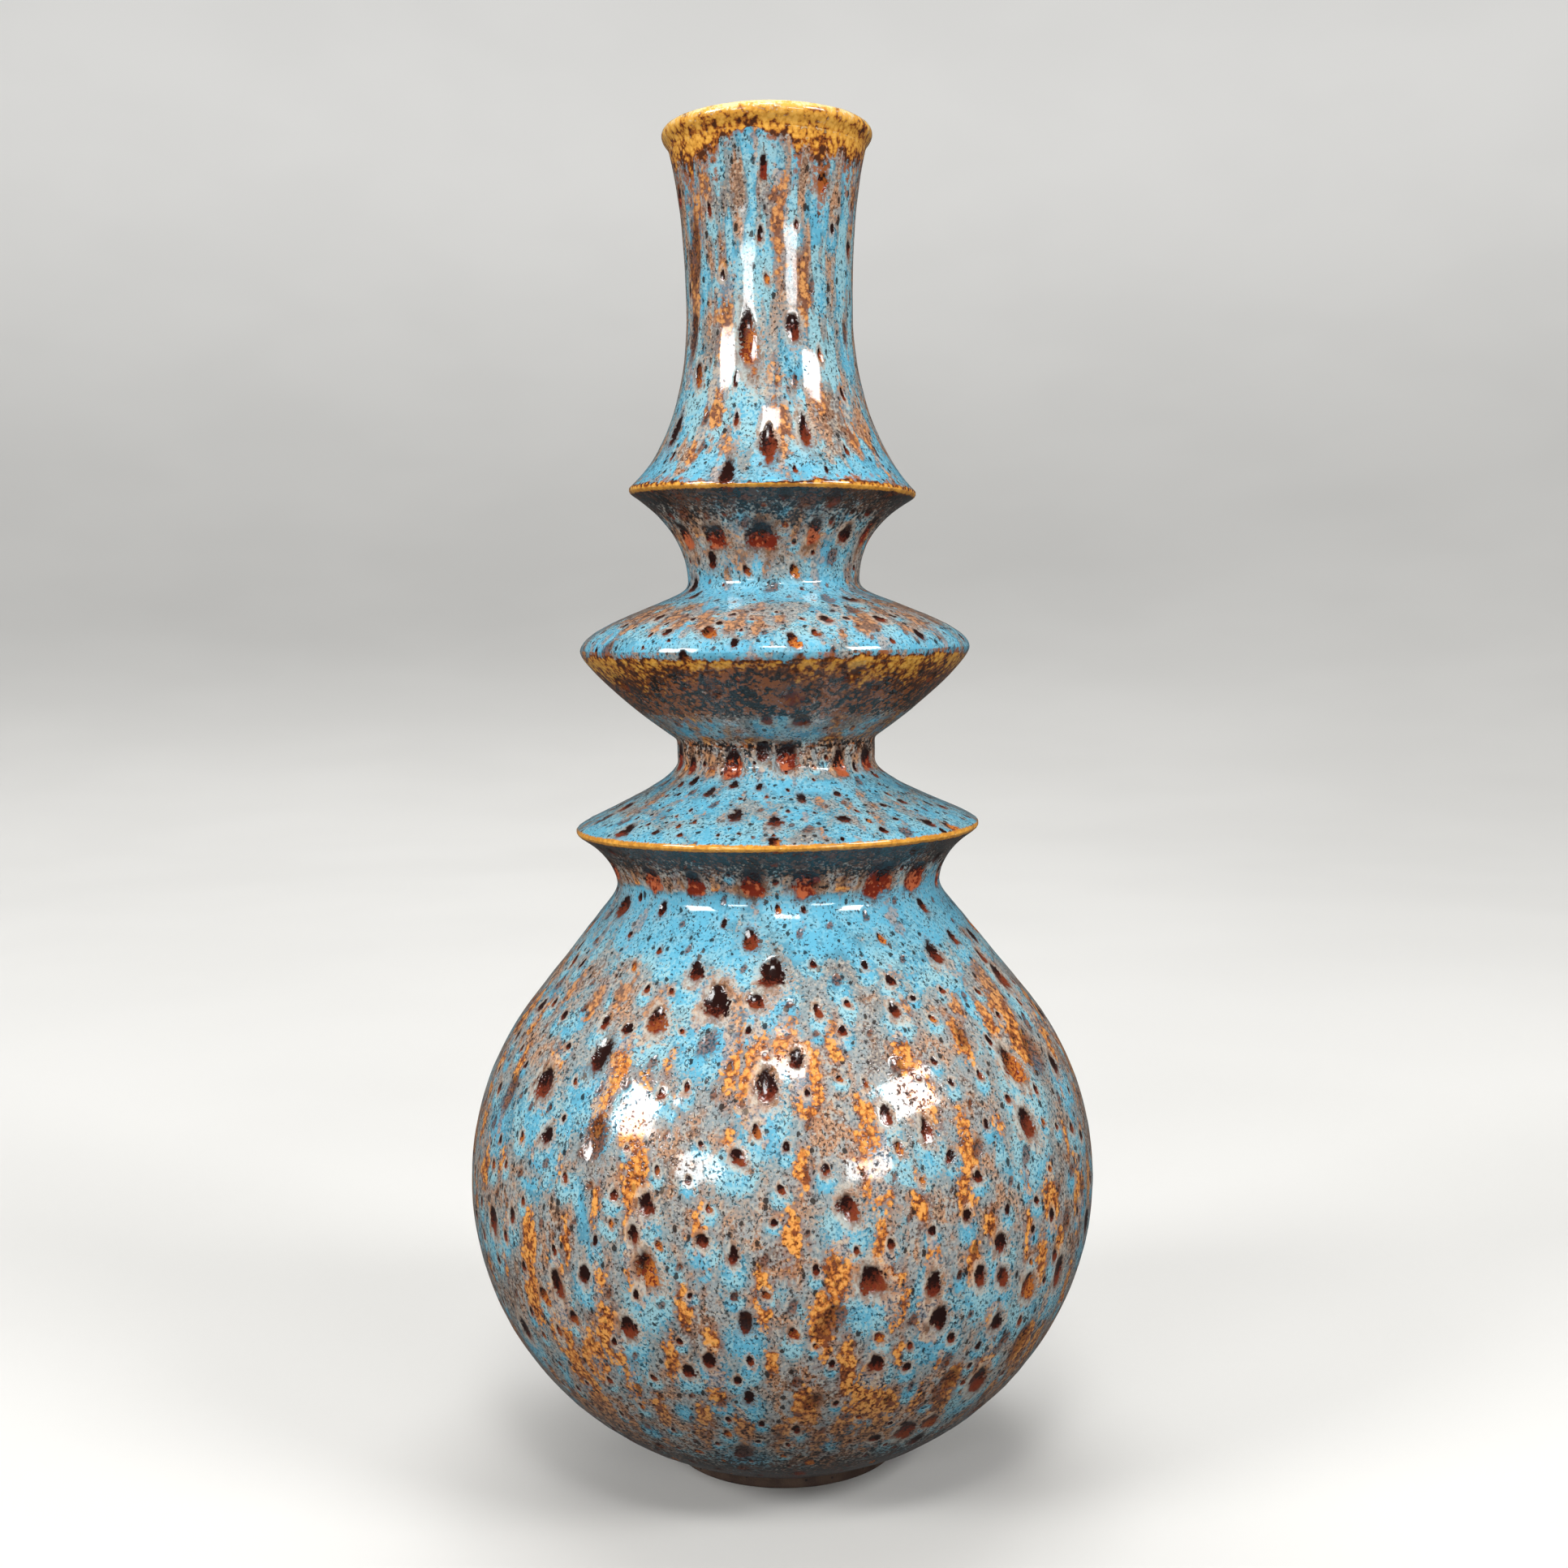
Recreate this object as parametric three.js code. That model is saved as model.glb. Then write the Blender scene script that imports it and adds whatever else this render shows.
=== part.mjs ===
// Tiered baluster vase in glazed stoneware: a globe on a low foot ring, and above it a stack of
// flared thrown sections, luted rim to rim with slip, that ends in a bell-shaped neck.
// Millimetres, +Z up. The origin is the centre of the foot ring's underside.
import * as THREE from "three";

// Heights of the thrown sections, from the foot up
const FOOT_RING_HEIGHT = 3.2;
const LOWER_BOWL_HEIGHT = 66.4;
const UPPER_BOWL_HEIGHT = 72.6;
const THROAT_HEIGHT = 12.4;
const LOWER_SKIRT_HEIGHT = 20.3;
const SAUCER_UNDERSIDE_HEIGHT = 22.2;
const SAUCER_TOP_HEIGHT = 16.0;
const UPPER_COLLAR_HEIGHT = 20.5;
const BELL_NECK_HEIGHT = 80.9;
const MOUTH_LIP_HEIGHT = 5.1;

// Outside radii where the sections meet, from the foot up
const BOWL_SEAT_RADIUS = 30.5;
const GLOBE_RADIUS = 76.8;
const THROAT_RADIUS = 38.0;
const LOWER_BRIM_RADIUS = 49.4;
const LOWER_WAIST_RADIUS = 24.3;
const SAUCER_RADIUS = 47.7;
const UPPER_WAIST_RADIUS = 20.4;
const UPPER_BRIM_RADIUS = 35.0;
const NECK_RADIUS = 20.2;
const MOUTH_SEAT_RADIUS = 23.7;
const MOUTH_LIP_RADIUS = 25.4;

// Walls and joints
const WALL = 4.5;
const FLOOR_THICKNESS = 6.0;
const FOOT_RING_WIDTH = 6.0;
const FOOT_SETBACK = 1.5;
const FOOT_EDGE = 0.8;
const SLIP_THICKNESS = 0.6;
const SLIP_SETBACK = 0.8;
const BRIM_LAND = 0.7;

// Where each outline turns, measured on the clay
const SHOULDER_INSET = 15.8;
const THROAT_TURN_HEIGHT = 7.0;
const THROAT_LEAN = 1.5;
const SKIRT_EDGE_ROUND = 3.5;
const SKIRT_EDGE_LEAN = 2.4;
const SKIRT_TURN_HEIGHT = 11.0;
const WAIST_HEIGHT = 4.3;
const WAIST_LAND = 1.0;
const SAUCER_FOOT_REACH = 6.7;
const SAUCER_FOOT_RISE = 4.5;
const SAUCER_EDGE_REACH = 5.2;
const SAUCER_EDGE_DROP = 8.2;
const SAUCER_DOME_RISE = 6.5;
const SAUCER_DOME_LEAN = 0.7;
const SAUCER_SPREAD = 1.6;
const SAUCER_SPREAD_DROP = 4.4;
const COLLAR_TURN_HEIGHT = 12.5;
const COLLAR_LEAN = 0.3;
const BELL_HEIGHT = 43.5;
const BELL_EDGE_REACH = 8.0;
const BELL_EDGE_RISE = 8.0;
const BELL_TURN_DROP = 20.0;
const NECK_FLARE_DROP = 15.0;
const LIP_ROUND = 1.8;
// Least half width of the flat left between the lip's two rounds
const LIP_FLAT = 0.1;

// Fineness of the turned solids
const TURN_STEPS = 36;
const CURVE_STEPS = 6;
const GLOBE_CURVE_STEPS = 9;
// Share of the wall that an inner point must keep from every point of the outline
const WALL_SHARE_KEPT = 0.98;

const GLAZE = new THREE.MeshStandardMaterial({ color: 0x6c9fb3, roughness: 0.12, metalness: 0 });
const HONEY_GLAZE = new THREE.MeshStandardMaterial({ color: 0xb9791f, roughness: 0.12, metalness: 0 });
const BARE_CLAY = new THREE.MeshStandardMaterial({ color: 0x8d6f55, roughness: 0.85, metalness: 0 });
const SLIP = new THREE.MeshStandardMaterial({ color: 0xa68a6d, roughness: 0.9, metalness: 0 });

const vase = new THREE.Group();

// Adds one turned piece. The profile holds radius and height pairs, runs up the outside and down
// the inside, and either closes on itself or starts and ends on the axis.
function turn(name, profile, material) {
  const geometry = new THREE.LatheGeometry(profile, TURN_STEPS);
  geometry.rotateX(Math.PI / 2);
  const mesh = new THREE.Mesh(geometry, material.clone());
  mesh.name = name;
  vase.add(mesh);
}

// Radius and height pairs as points.
function points(pairs) {
  return pairs.map(([radius, height]) => new THREE.Vector2(radius, height));
}

// The point at a given height on the straight line through two points.
function pointAtHeight(a, b, height) {
  const share = (height - a.y) / (b.y - a.y);
  return new THREE.Vector2(THREE.MathUtils.lerp(a.x, b.x, share), height);
}

// The inside of a wall of even thickness behind an outline that climbs from low to high.
// Points that would lie nearer than the wall to any part of the outline are left out, and the ends
// are carried to the two joint planes. The result runs down.
function insideOf(outline, low, high) {
  const inner = [];
  for (let i = 0; i < outline.length; i++) {
    const before = outline[Math.max(i - 1, 0)];
    const after = outline[Math.min(i + 1, outline.length - 1)];
    const along = after.clone().sub(before).normalize();
    const point = outline[i].clone().add(new THREE.Vector2(-along.y, along.x).multiplyScalar(WALL));
    const nearest = Math.min(...outline.map((other) => other.distanceTo(point)));
    const climbs = inner.length === 0 || point.y > inner.at(-1).y;
    if (climbs && nearest > WALL * WALL_SHARE_KEPT) {
      inner.push(point);
    }
  }
  const kept = inner.filter((point) => point.y > low && point.y < high);
  const first = inner.indexOf(kept[0]);
  const last = inner.indexOf(kept.at(-1));
  const foot = new THREE.Vector2(kept[0].x, low);
  const head = new THREE.Vector2(kept.at(-1).x, high);
  if (first > 0) {
    foot.copy(pointAtHeight(inner[first - 1], kept[0], low));
  }
  if (last < inner.length - 1) {
    head.copy(pointAtHeight(kept.at(-1), inner[last + 1], high));
  }
  return [foot, ...kept, head].reverse();
}

// A thrown section, open at both ends, between two joint planes. Returns the radius of its bore at
// the foot and at the head.
function throwSection(name, outline) {
  const inner = insideOf(outline, outline[0].y, outline.at(-1).y);
  turn(name, [...outline, ...inner, outline[0]], GLAZE);
  return { foot: inner.at(-1).x, head: inner[0].x };
}

// The ring of slip that lutes two sections, held back from both faces of the wall.
function luteWithSlip(name, low, outside, boreBelow, boreAbove) {
  const inside = Math.max(boreBelow, boreAbove) + SLIP_SETBACK;
  const face = outside - SLIP_SETBACK;
  const high = low + SLIP_THICKNESS;
  const ring = [
    [inside, low],
    [face, low],
    [face, high],
    [inside, high],
    [inside, low],
  ];
  turn(name, points(ring), SLIP);
}

// Joint planes: the foot of each section stands on the slip over the section below
const footTop = FOOT_RING_HEIGHT;
const bowlSeat = footTop + SLIP_THICKNESS;
const belly = bowlSeat + LOWER_BOWL_HEIGHT;
const upperBowlFoot = belly + SLIP_THICKNESS;
const shoulder = upperBowlFoot + UPPER_BOWL_HEIGHT;
const throatFoot = shoulder + SLIP_THICKNESS;
const lowerBrim = throatFoot + THROAT_HEIGHT;
const skirtFoot = lowerBrim + SLIP_THICKNESS;
const lowerWaist = skirtFoot + LOWER_SKIRT_HEIGHT;
const saucerFoot = lowerWaist + SLIP_THICKNESS;
const saucerEdge = saucerFoot + SAUCER_UNDERSIDE_HEIGHT;
const saucerTopFoot = saucerEdge + SLIP_THICKNESS;
const upperWaist = saucerTopFoot + SAUCER_TOP_HEIGHT;
const collarFoot = upperWaist + SLIP_THICKNESS;
const upperBrim = collarFoot + UPPER_COLLAR_HEIGHT;
const neckFoot = upperBrim + SLIP_THICKNESS;
const mouthSeat = neckFoot + BELL_NECK_HEIGHT;
const lipFoot = mouthSeat + SLIP_THICKNESS;
const mouth = lipFoot + MOUTH_LIP_HEIGHT;

// Foot ring: a low band of bare clay, eased on both edges where it meets the table
function footRing() {
  const radius = BOWL_SEAT_RADIUS - FOOT_SETBACK;
  const bore = radius - FOOT_RING_WIDTH;
  const profile = [
    [bore + FOOT_EDGE, 0],
    [radius - FOOT_EDGE, 0],
    [radius, FOOT_EDGE],
    [radius, footTop],
    [bore, footTop],
    [bore, FOOT_EDGE],
    [bore + FOOT_EDGE, 0],
  ];
  turn("foot_ring", points(profile), BARE_CLAY);
  luteWithSlip("foot_slip", footTop, radius, bore, bore);
}

// Lower bowl: a quarter ellipse from its seat on the foot ring to the belly, with a flat floor
function lowerBowl() {
  const seatAngle = Math.acos(BOWL_SEAT_RADIUS / GLOBE_RADIUS);
  const depth = LOWER_BOWL_HEIGHT / Math.sin(seatAngle);
  const curve = new THREE.EllipseCurve(0, belly, GLOBE_RADIUS, depth, -seatAngle, 0);
  const outline = curve.getPoints(GLOBE_CURVE_STEPS);
  const floor = bowlSeat + FLOOR_THICKNESS;
  const inner = insideOf(outline, floor, belly);
  const underside = new THREE.Vector2(0, bowlSeat);
  turn("lower_bowl", [underside, ...outline, ...inner, new THREE.Vector2(0, floor)], GLAZE);
  return inner[0].x;
}

// Upper bowl: an elliptical dome from the belly that runs off into a straight shoulder
function upperBowl() {
  const breakRadius = GLOBE_RADIUS - SHOULDER_INSET;
  const breakAngle = Math.acos(breakRadius / GLOBE_RADIUS);
  const inset = breakRadius - THROAT_RADIUS;
  // The dome's height that makes the straight shoulder leave it as a tangent
  const dome =
    (GLOBE_RADIUS * UPPER_BOWL_HEIGHT * Math.sin(breakAngle)) /
    (inset * Math.cos(breakAngle) + GLOBE_RADIUS * Math.sin(breakAngle) ** 2);
  const curve = new THREE.EllipseCurve(0, upperBowlFoot, GLOBE_RADIUS, dome, 0, breakAngle);
  const outline = [...curve.getPoints(GLOBE_CURVE_STEPS), new THREE.Vector2(THROAT_RADIUS, shoulder)];
  return throwSection("upper_bowl", outline);
}

// Throat collar: a hollow curve that turns out from the shoulder under the lower brim
function throatCollar() {
  const outline = new THREE.Path()
    .moveTo(THROAT_RADIUS, throatFoot)
    .quadraticCurveTo(
      THROAT_RADIUS + THROAT_LEAN,
      throatFoot + THROAT_TURN_HEIGHT,
      LOWER_BRIM_RADIUS,
      lowerBrim - BRIM_LAND,
    )
    .lineTo(LOWER_BRIM_RADIUS, lowerBrim);
  return throwSection("throat_collar", outline.getPoints(CURVE_STEPS));
}

// Lower skirt: a flared cone with a rounded edge, drawn in to the upright lower waist
function lowerSkirt() {
  const outline = new THREE.Path()
    .moveTo(LOWER_BRIM_RADIUS, skirtFoot)
    .lineTo(LOWER_BRIM_RADIUS, skirtFoot + BRIM_LAND)
    .bezierCurveTo(
      LOWER_BRIM_RADIUS - SKIRT_EDGE_LEAN,
      skirtFoot + SKIRT_EDGE_ROUND,
      LOWER_WAIST_RADIUS,
      skirtFoot + SKIRT_TURN_HEIGHT,
      LOWER_WAIST_RADIUS,
      lowerWaist - WAIST_HEIGHT,
    )
    .lineTo(LOWER_WAIST_RADIUS, lowerWaist);
  return throwSection("lower_skirt", outline.getPoints(CURVE_STEPS));
}

// Saucer underside: a shallow bowl that opens from the lower waist
function saucerUnderside() {
  const outline = new THREE.Path()
    .moveTo(LOWER_WAIST_RADIUS, saucerFoot)
    .lineTo(LOWER_WAIST_RADIUS, saucerFoot + WAIST_LAND)
    .bezierCurveTo(
      LOWER_WAIST_RADIUS + SAUCER_FOOT_REACH,
      saucerFoot + WAIST_LAND + SAUCER_FOOT_RISE,
      SAUCER_RADIUS - SAUCER_EDGE_REACH,
      saucerEdge - SAUCER_EDGE_DROP,
      SAUCER_RADIUS,
      saucerEdge,
    );
  return throwSection("saucer_underside", outline.getPoints(CURVE_STEPS));
}

// Saucer top: a low dome that closes in to the upper waist
function saucerTop() {
  const outline = new THREE.Path()
    .moveTo(SAUCER_RADIUS, saucerTopFoot)
    .bezierCurveTo(
      SAUCER_RADIUS - SAUCER_DOME_LEAN,
      saucerTopFoot + SAUCER_DOME_RISE,
      UPPER_WAIST_RADIUS + SAUCER_SPREAD,
      upperWaist - SAUCER_SPREAD_DROP,
      UPPER_WAIST_RADIUS,
      upperWaist,
    );
  return throwSection("saucer_top", outline.getPoints(CURVE_STEPS));
}

// Upper collar: turns out from the upper waist under the upper brim
function upperCollar() {
  const outline = new THREE.Path()
    .moveTo(UPPER_WAIST_RADIUS, collarFoot)
    .quadraticCurveTo(
      UPPER_WAIST_RADIUS + COLLAR_LEAN,
      collarFoot + COLLAR_TURN_HEIGHT,
      UPPER_BRIM_RADIUS,
      upperBrim - BRIM_LAND,
    )
    .lineTo(UPPER_BRIM_RADIUS, upperBrim);
  return throwSection("upper_collar", outline.getPoints(CURVE_STEPS));
}

// Bell neck: a bell that narrows from the upper brim and opens again towards the mouth
function bellNeck() {
  const narrowest = neckFoot + BELL_HEIGHT;
  const outline = new THREE.Path()
    .moveTo(UPPER_BRIM_RADIUS, neckFoot)
    .lineTo(UPPER_BRIM_RADIUS, neckFoot + BRIM_LAND)
    .bezierCurveTo(
      UPPER_BRIM_RADIUS - BELL_EDGE_REACH,
      neckFoot + BELL_EDGE_RISE,
      NECK_RADIUS,
      narrowest - BELL_TURN_DROP,
      NECK_RADIUS,
      narrowest,
    )
    .quadraticCurveTo(NECK_RADIUS, mouthSeat - NECK_FLARE_DROP, MOUTH_SEAT_RADIUS, mouthSeat);
  return throwSection("bell_neck", outline.getPoints(CURVE_STEPS));
}

// Mouth lip: a rolled ring that flares past the neck and is round on top
function mouthLip(bore) {
  const round = Math.min(LIP_ROUND, (MOUTH_LIP_RADIUS - bore) / 2 - LIP_FLAT);
  const crown = mouth - round;
  const outline = new THREE.Path()
    .moveTo(MOUTH_SEAT_RADIUS, lipFoot)
    .lineTo(MOUTH_LIP_RADIUS, crown)
    .absarc(MOUTH_LIP_RADIUS - round, crown, round, 0, Math.PI / 2)
    .lineTo(bore + round, mouth)
    .absarc(bore + round, crown, round, Math.PI / 2, Math.PI)
    .lineTo(bore, lipFoot)
    .lineTo(MOUTH_SEAT_RADIUS, lipFoot);
  turn("mouth_lip", outline.getPoints(CURVE_STEPS), HONEY_GLAZE);
}

footRing();
const lowerBowlBore = lowerBowl();
const upperBowlBore = upperBowl();
const throatBore = throatCollar();
const skirtBore = lowerSkirt();
const undersideBore = saucerUnderside();
const saucerBore = saucerTop();
const collarBore = upperCollar();
const neckBore = bellNeck();
mouthLip(neckBore.head);

luteWithSlip("belly_slip", belly, GLOBE_RADIUS, lowerBowlBore, upperBowlBore.foot);
luteWithSlip("shoulder_slip", shoulder, THROAT_RADIUS, upperBowlBore.head, throatBore.foot);
luteWithSlip("lower_brim_slip", lowerBrim, LOWER_BRIM_RADIUS, throatBore.head, skirtBore.foot);
luteWithSlip("lower_waist_slip", lowerWaist, LOWER_WAIST_RADIUS, skirtBore.head, undersideBore.foot);
luteWithSlip("saucer_slip", saucerEdge, SAUCER_RADIUS, undersideBore.head, saucerBore.foot);
luteWithSlip("upper_waist_slip", upperWaist, UPPER_WAIST_RADIUS, saucerBore.head, collarBore.foot);
luteWithSlip("upper_brim_slip", upperBrim, UPPER_BRIM_RADIUS, collarBore.head, neckBore.foot);
luteWithSlip("lip_slip", mouthSeat, MOUTH_SEAT_RADIUS, neckBore.head, neckBore.head);

export default vase;
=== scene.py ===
"""Looks of a tiered stoneware vase: ten thrown sections under one running blue and amber glaze.

Everything is in metres, +Z up, in the part's own frame. The sizes at the joints come from the frame,
and the curves between them are those of the thrown clay.
"""

import logging
import math
from collections.abc import Callable
from dataclasses import dataclass, field
from enum import Enum
from typing import Any, ClassVar

import bpy
import numpy as np
from mathutils import Matrix, Vector, noise


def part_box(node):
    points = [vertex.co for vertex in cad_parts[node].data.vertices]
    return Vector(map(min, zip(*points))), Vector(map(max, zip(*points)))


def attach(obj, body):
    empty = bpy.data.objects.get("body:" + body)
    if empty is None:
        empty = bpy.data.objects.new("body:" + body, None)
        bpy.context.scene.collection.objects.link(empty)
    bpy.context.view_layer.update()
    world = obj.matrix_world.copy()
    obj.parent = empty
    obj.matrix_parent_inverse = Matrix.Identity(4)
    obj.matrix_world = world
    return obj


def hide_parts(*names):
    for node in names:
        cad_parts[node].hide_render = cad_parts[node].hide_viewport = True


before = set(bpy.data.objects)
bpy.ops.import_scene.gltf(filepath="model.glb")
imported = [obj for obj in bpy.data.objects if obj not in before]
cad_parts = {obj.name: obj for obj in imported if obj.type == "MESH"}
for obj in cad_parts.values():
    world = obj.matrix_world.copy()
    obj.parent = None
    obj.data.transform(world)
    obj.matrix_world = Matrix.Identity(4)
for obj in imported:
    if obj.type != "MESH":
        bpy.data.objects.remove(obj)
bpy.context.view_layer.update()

LOG = logging.getLogger("vase")
BODY = "root"
MM = 0.001
MERGE_GAP = 1e-6
SLIP_SETBACK = 0.8 * MM
QUARTER = math.pi / 2
SECOND_WAVE = 0.6

Point = tuple[float, float]
Stops = tuple[Point, ...]
Colour = tuple[float, float, float, float]
Socket = bpy.types.NodeSocket


class Slot(Enum):
    """The record's material slots that the pieces take their finish from."""

    MOTTLED = "mottled_glaze"
    HONEY = "honey_glaze"
    CLAY = "bare_clay"


class Mark(Enum):
    """Kinds of mark that the glaze leaves, by the mesh attribute that holds each kind's own frame."""

    PIT = "pit"
    BLOOM = "bloom"
    STREAK = "streak"


def srgb(red: int, green: int, blue: int) -> Colour:
    """Turns a colour as seen on a screen into the linear colour that a shader takes.

    Args:
        red: Red, from 0 to 255.
        green: Green, from 0 to 255.
        blue: Blue, from 0 to 255.

    Returns:
        The linear colour with full alpha.
    """
    shares = [channel / 255 for channel in (red, green, blue)]
    linear = [s / 12.92 if s <= 0.04045 else ((s + 0.055) / 1.055) ** 2.4 for s in shares]
    return (linear[0], linear[1], linear[2], 1.0)


def wrapped(angles: np.ndarray) -> np.ndarray:
    """Brings angles into the half turn either side of zero."""
    return (angles + math.pi) % math.tau - math.pi


def angles_of(places: np.ndarray) -> np.ndarray:
    """Angle round the axis of each place, which is a row of X, Y and Z."""
    return np.arctan2(places[:, 1], places[:, 0])


def lengths(points: np.ndarray) -> np.ndarray:
    """Length along a line of points, at each of them."""
    steps = np.linalg.norm(np.diff(points, axis=0), axis=1)
    return np.concatenate([[0.0], np.cumsum(steps)])


def steady(value: float) -> Stops:
    """Stops that keep one value all along an outline."""
    return ((0.0, value), (1.0, value))


def two_waves(angle: np.ndarray, counts: tuple[int, int], phases: Point) -> np.ndarray:
    """Adds up two rounds of waves about the axis, of which the second is the lower.

    Args:
        angle: Angles round the axis.
        counts: How many waves go round in each.
        phases: The phase that each starts at.

    Returns:
        The height at each angle, in heights of the first round's waves.
    """
    first, second = (np.sin(count * angle + phase) for count, phase in zip(counts, phases))
    return first + SECOND_WAVE * second


def add_circle(name: str, vertices: int, radius: float, fill: str) -> bpy.types.Object:
    """Adds a circle at the origin, as the one selected object.

    Args:
        name: The object's name.
        vertices: How many vertices it has.
        radius: Its radius.
        fill: How it is filled.

    Returns:
        The new object.
    """
    bpy.ops.object.select_all(action="DESELECT")
    bpy.ops.mesh.primitive_circle_add(vertices=vertices, radius=radius, fill_type=fill)
    circle = bpy.context.active_object
    circle.name = name
    return circle


def bezier(points: list[np.ndarray], steps: int) -> np.ndarray:
    """Samples a Bezier curve of any degree.

    Args:
        points: Its ends and the control points between them.
        steps: How many stretches it is cut into.

    Returns:
        The points after the first, one per row.
    """
    share = np.linspace(0, 1, steps + 1)[1:, None]
    degree = len(points) - 1
    return sum(
        math.comb(degree, i) * share**i * (1 - share) ** (degree - i) * point
        for i, point in enumerate(points)
    )


class Outline:
    """A meridian of the vase, as radius and height pairs, drawn from the foot up."""

    FINENESS: ClassVar[int] = 64
    FILLET_FINENESS: ClassVar[int] = 16
    FEWEST_POINTS: ClassVar[int] = 3

    def __init__(self, start: Point) -> None:
        """Starts the outline at a radius and a height."""
        self.points = np.array([start], float)

    def line(self, end: Point) -> "Outline":
        """Draws a straight stretch to a point."""
        self.points = np.vstack([self.points, np.array([end], float)])
        return self

    def curve(self, *points: Point) -> "Outline":
        """Draws a Bezier stretch.

        Args:
            *points: Its control points, and its end as the last.

        Returns:
            The outline itself.
        """
        corners = [self.points[-1], *[np.array(point, float) for point in points]]
        self.points = np.vstack([self.points, bezier(corners, self.FINENESS)])
        return self

    def arc(self, centre: Point, radii: Point, start: float, end: float) -> "Outline":
        """Draws a stretch of an ellipse.

        Args:
            centre: The ellipse's centre.
            radii: Its half width and half height.
            start: The angle that it starts at, in radians from straight out.
            end: The angle that it ends at.

        Returns:
            The outline itself.
        """
        angles = np.linspace(start, end, self.FINENESS + 1)
        across = centre[0] + radii[0] * np.cos(angles)
        up = centre[1] + radii[1] * np.sin(angles)
        self.points = np.vstack([self.points, np.column_stack([across, up])])
        return self

    def ease_head(self, length: float) -> "Outline":
        """Turns the last stretch upright, as glaze rounds an edge or fills a crease.

        Args:
            length: How much of the outline is turned.

        Returns:
            The outline itself.
        """
        runs = lengths(self.points)
        last = self.points[-1]
        cut = int(np.searchsorted(runs, runs[-1] - length))
        start = self.points[cut - 1]
        along = self.points[cut] - start
        corner = start + along * ((last[0] - start[0]) / along[0])
        fillet = bezier([start, corner, last], self.FILLET_FINENESS)
        self.points = np.vstack([self.points[:cut], fillet])
        return self

    def ease_foot(self, length: float) -> "Outline":
        """Turns the first stretch upright in the same way as ease_head turns the last.

        Args:
            length: How much of the outline is turned.

        Returns:
            The outline itself.
        """
        self.points = self.points[::-1]
        self.ease_head(length)
        self.points = self.points[::-1]
        return self

    def even(self, gap: float) -> np.ndarray:
        """Samples the outline evenly.

        Args:
            gap: About how far apart the points lie.

        Returns:
            Radius and height pairs.
        """
        runs = lengths(self.points)
        count = max(self.FEWEST_POINTS, round(runs[-1] / gap) + 1)
        places = np.linspace(0, runs[-1], count)
        return np.column_stack([np.interp(places, runs, self.points[:, i]) for i in (0, 1)])


def outward(points: np.ndarray) -> np.ndarray:
    """Unit normals that face away from the axis, along an outline that climbs.

    Args:
        points: Radius and height pairs.

    Returns:
        One unit normal per row, in the same plane.
    """
    along = np.gradient(points, axis=0)
    along /= np.linalg.norm(along, axis=1, keepdims=True)
    return np.column_stack([along[:, 1], -along[:, 0]])


def inside(points: np.ndarray, wall: float, low: float, high: float) -> np.ndarray:
    """The inner face of a wall of even thickness behind an outline.

    Args:
        points: The outline, from the foot up.
        wall: The wall's thickness.
        low: Height of the plane where the inner face starts.
        high: Height of the plane where it ends.

    Returns:
        Radius and height pairs, running down from high to low.
    """
    kept_share = 0.98
    offset = points - outward(points) * wall
    gaps = np.linalg.norm(offset[:, None, :] - points[None, :, :], axis=2).min(axis=1)
    clear = offset[gaps > wall * kept_share]
    rising = clear[np.argsort(clear[:, 1])]
    between = rising[(rising[:, 1] > low) & (rising[:, 1] < high)]
    ends = np.interp([low, high], rising[:, 1], rising[:, 0])
    return np.vstack([[ends[1], high], between[::-1], [ends[0], low]])


@dataclass(frozen=True)
class Joint:
    """A luted joint between two sections.

    Attributes:
        radius: Outside radius where the two sections meet.
        height: Height of the plane where they meet.
    """

    radius: float
    height: float

    @classmethod
    def at_slip(cls, node: str, fill: float = 0.0) -> "Joint":
        """Reads a joint from the ring of slip that fills it.

        Args:
            node: The slip ring's node.
            fill: How far pooled glaze stands out of the crease there.

        Returns:
            The joint at the middle of the slip.
        """
        low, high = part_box(node)
        return cls(radius=high.x + SLIP_SETBACK + fill, height=(low.z + high.z) / 2)

    def off(self, across: float = 0.0, up: float = 0.0) -> Point:
        """The outline's point at the joint, or so far outside it and above it."""
        return (self.radius + across, self.height + up)


@dataclass(frozen=True)
class MarkScatter:
    """How one kind of mark is strewn over the glaze.

    Attributes:
        seed: Seed of its random draws.
        tries: How many places are tried.
        spacing: Least distance between two marks.
        half_width: Least and greatest half width.
        rarity: Power that makes the wide ones rarer.
        stretch: Least and greatest height, as a multiple of the width.
        reach: How far a mark is drawn, in its own half sizes.
    """

    seed: int
    tries: int
    spacing: float
    half_width: tuple[float, float]
    rarity: float
    stretch: tuple[float, float]
    reach: float


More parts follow.
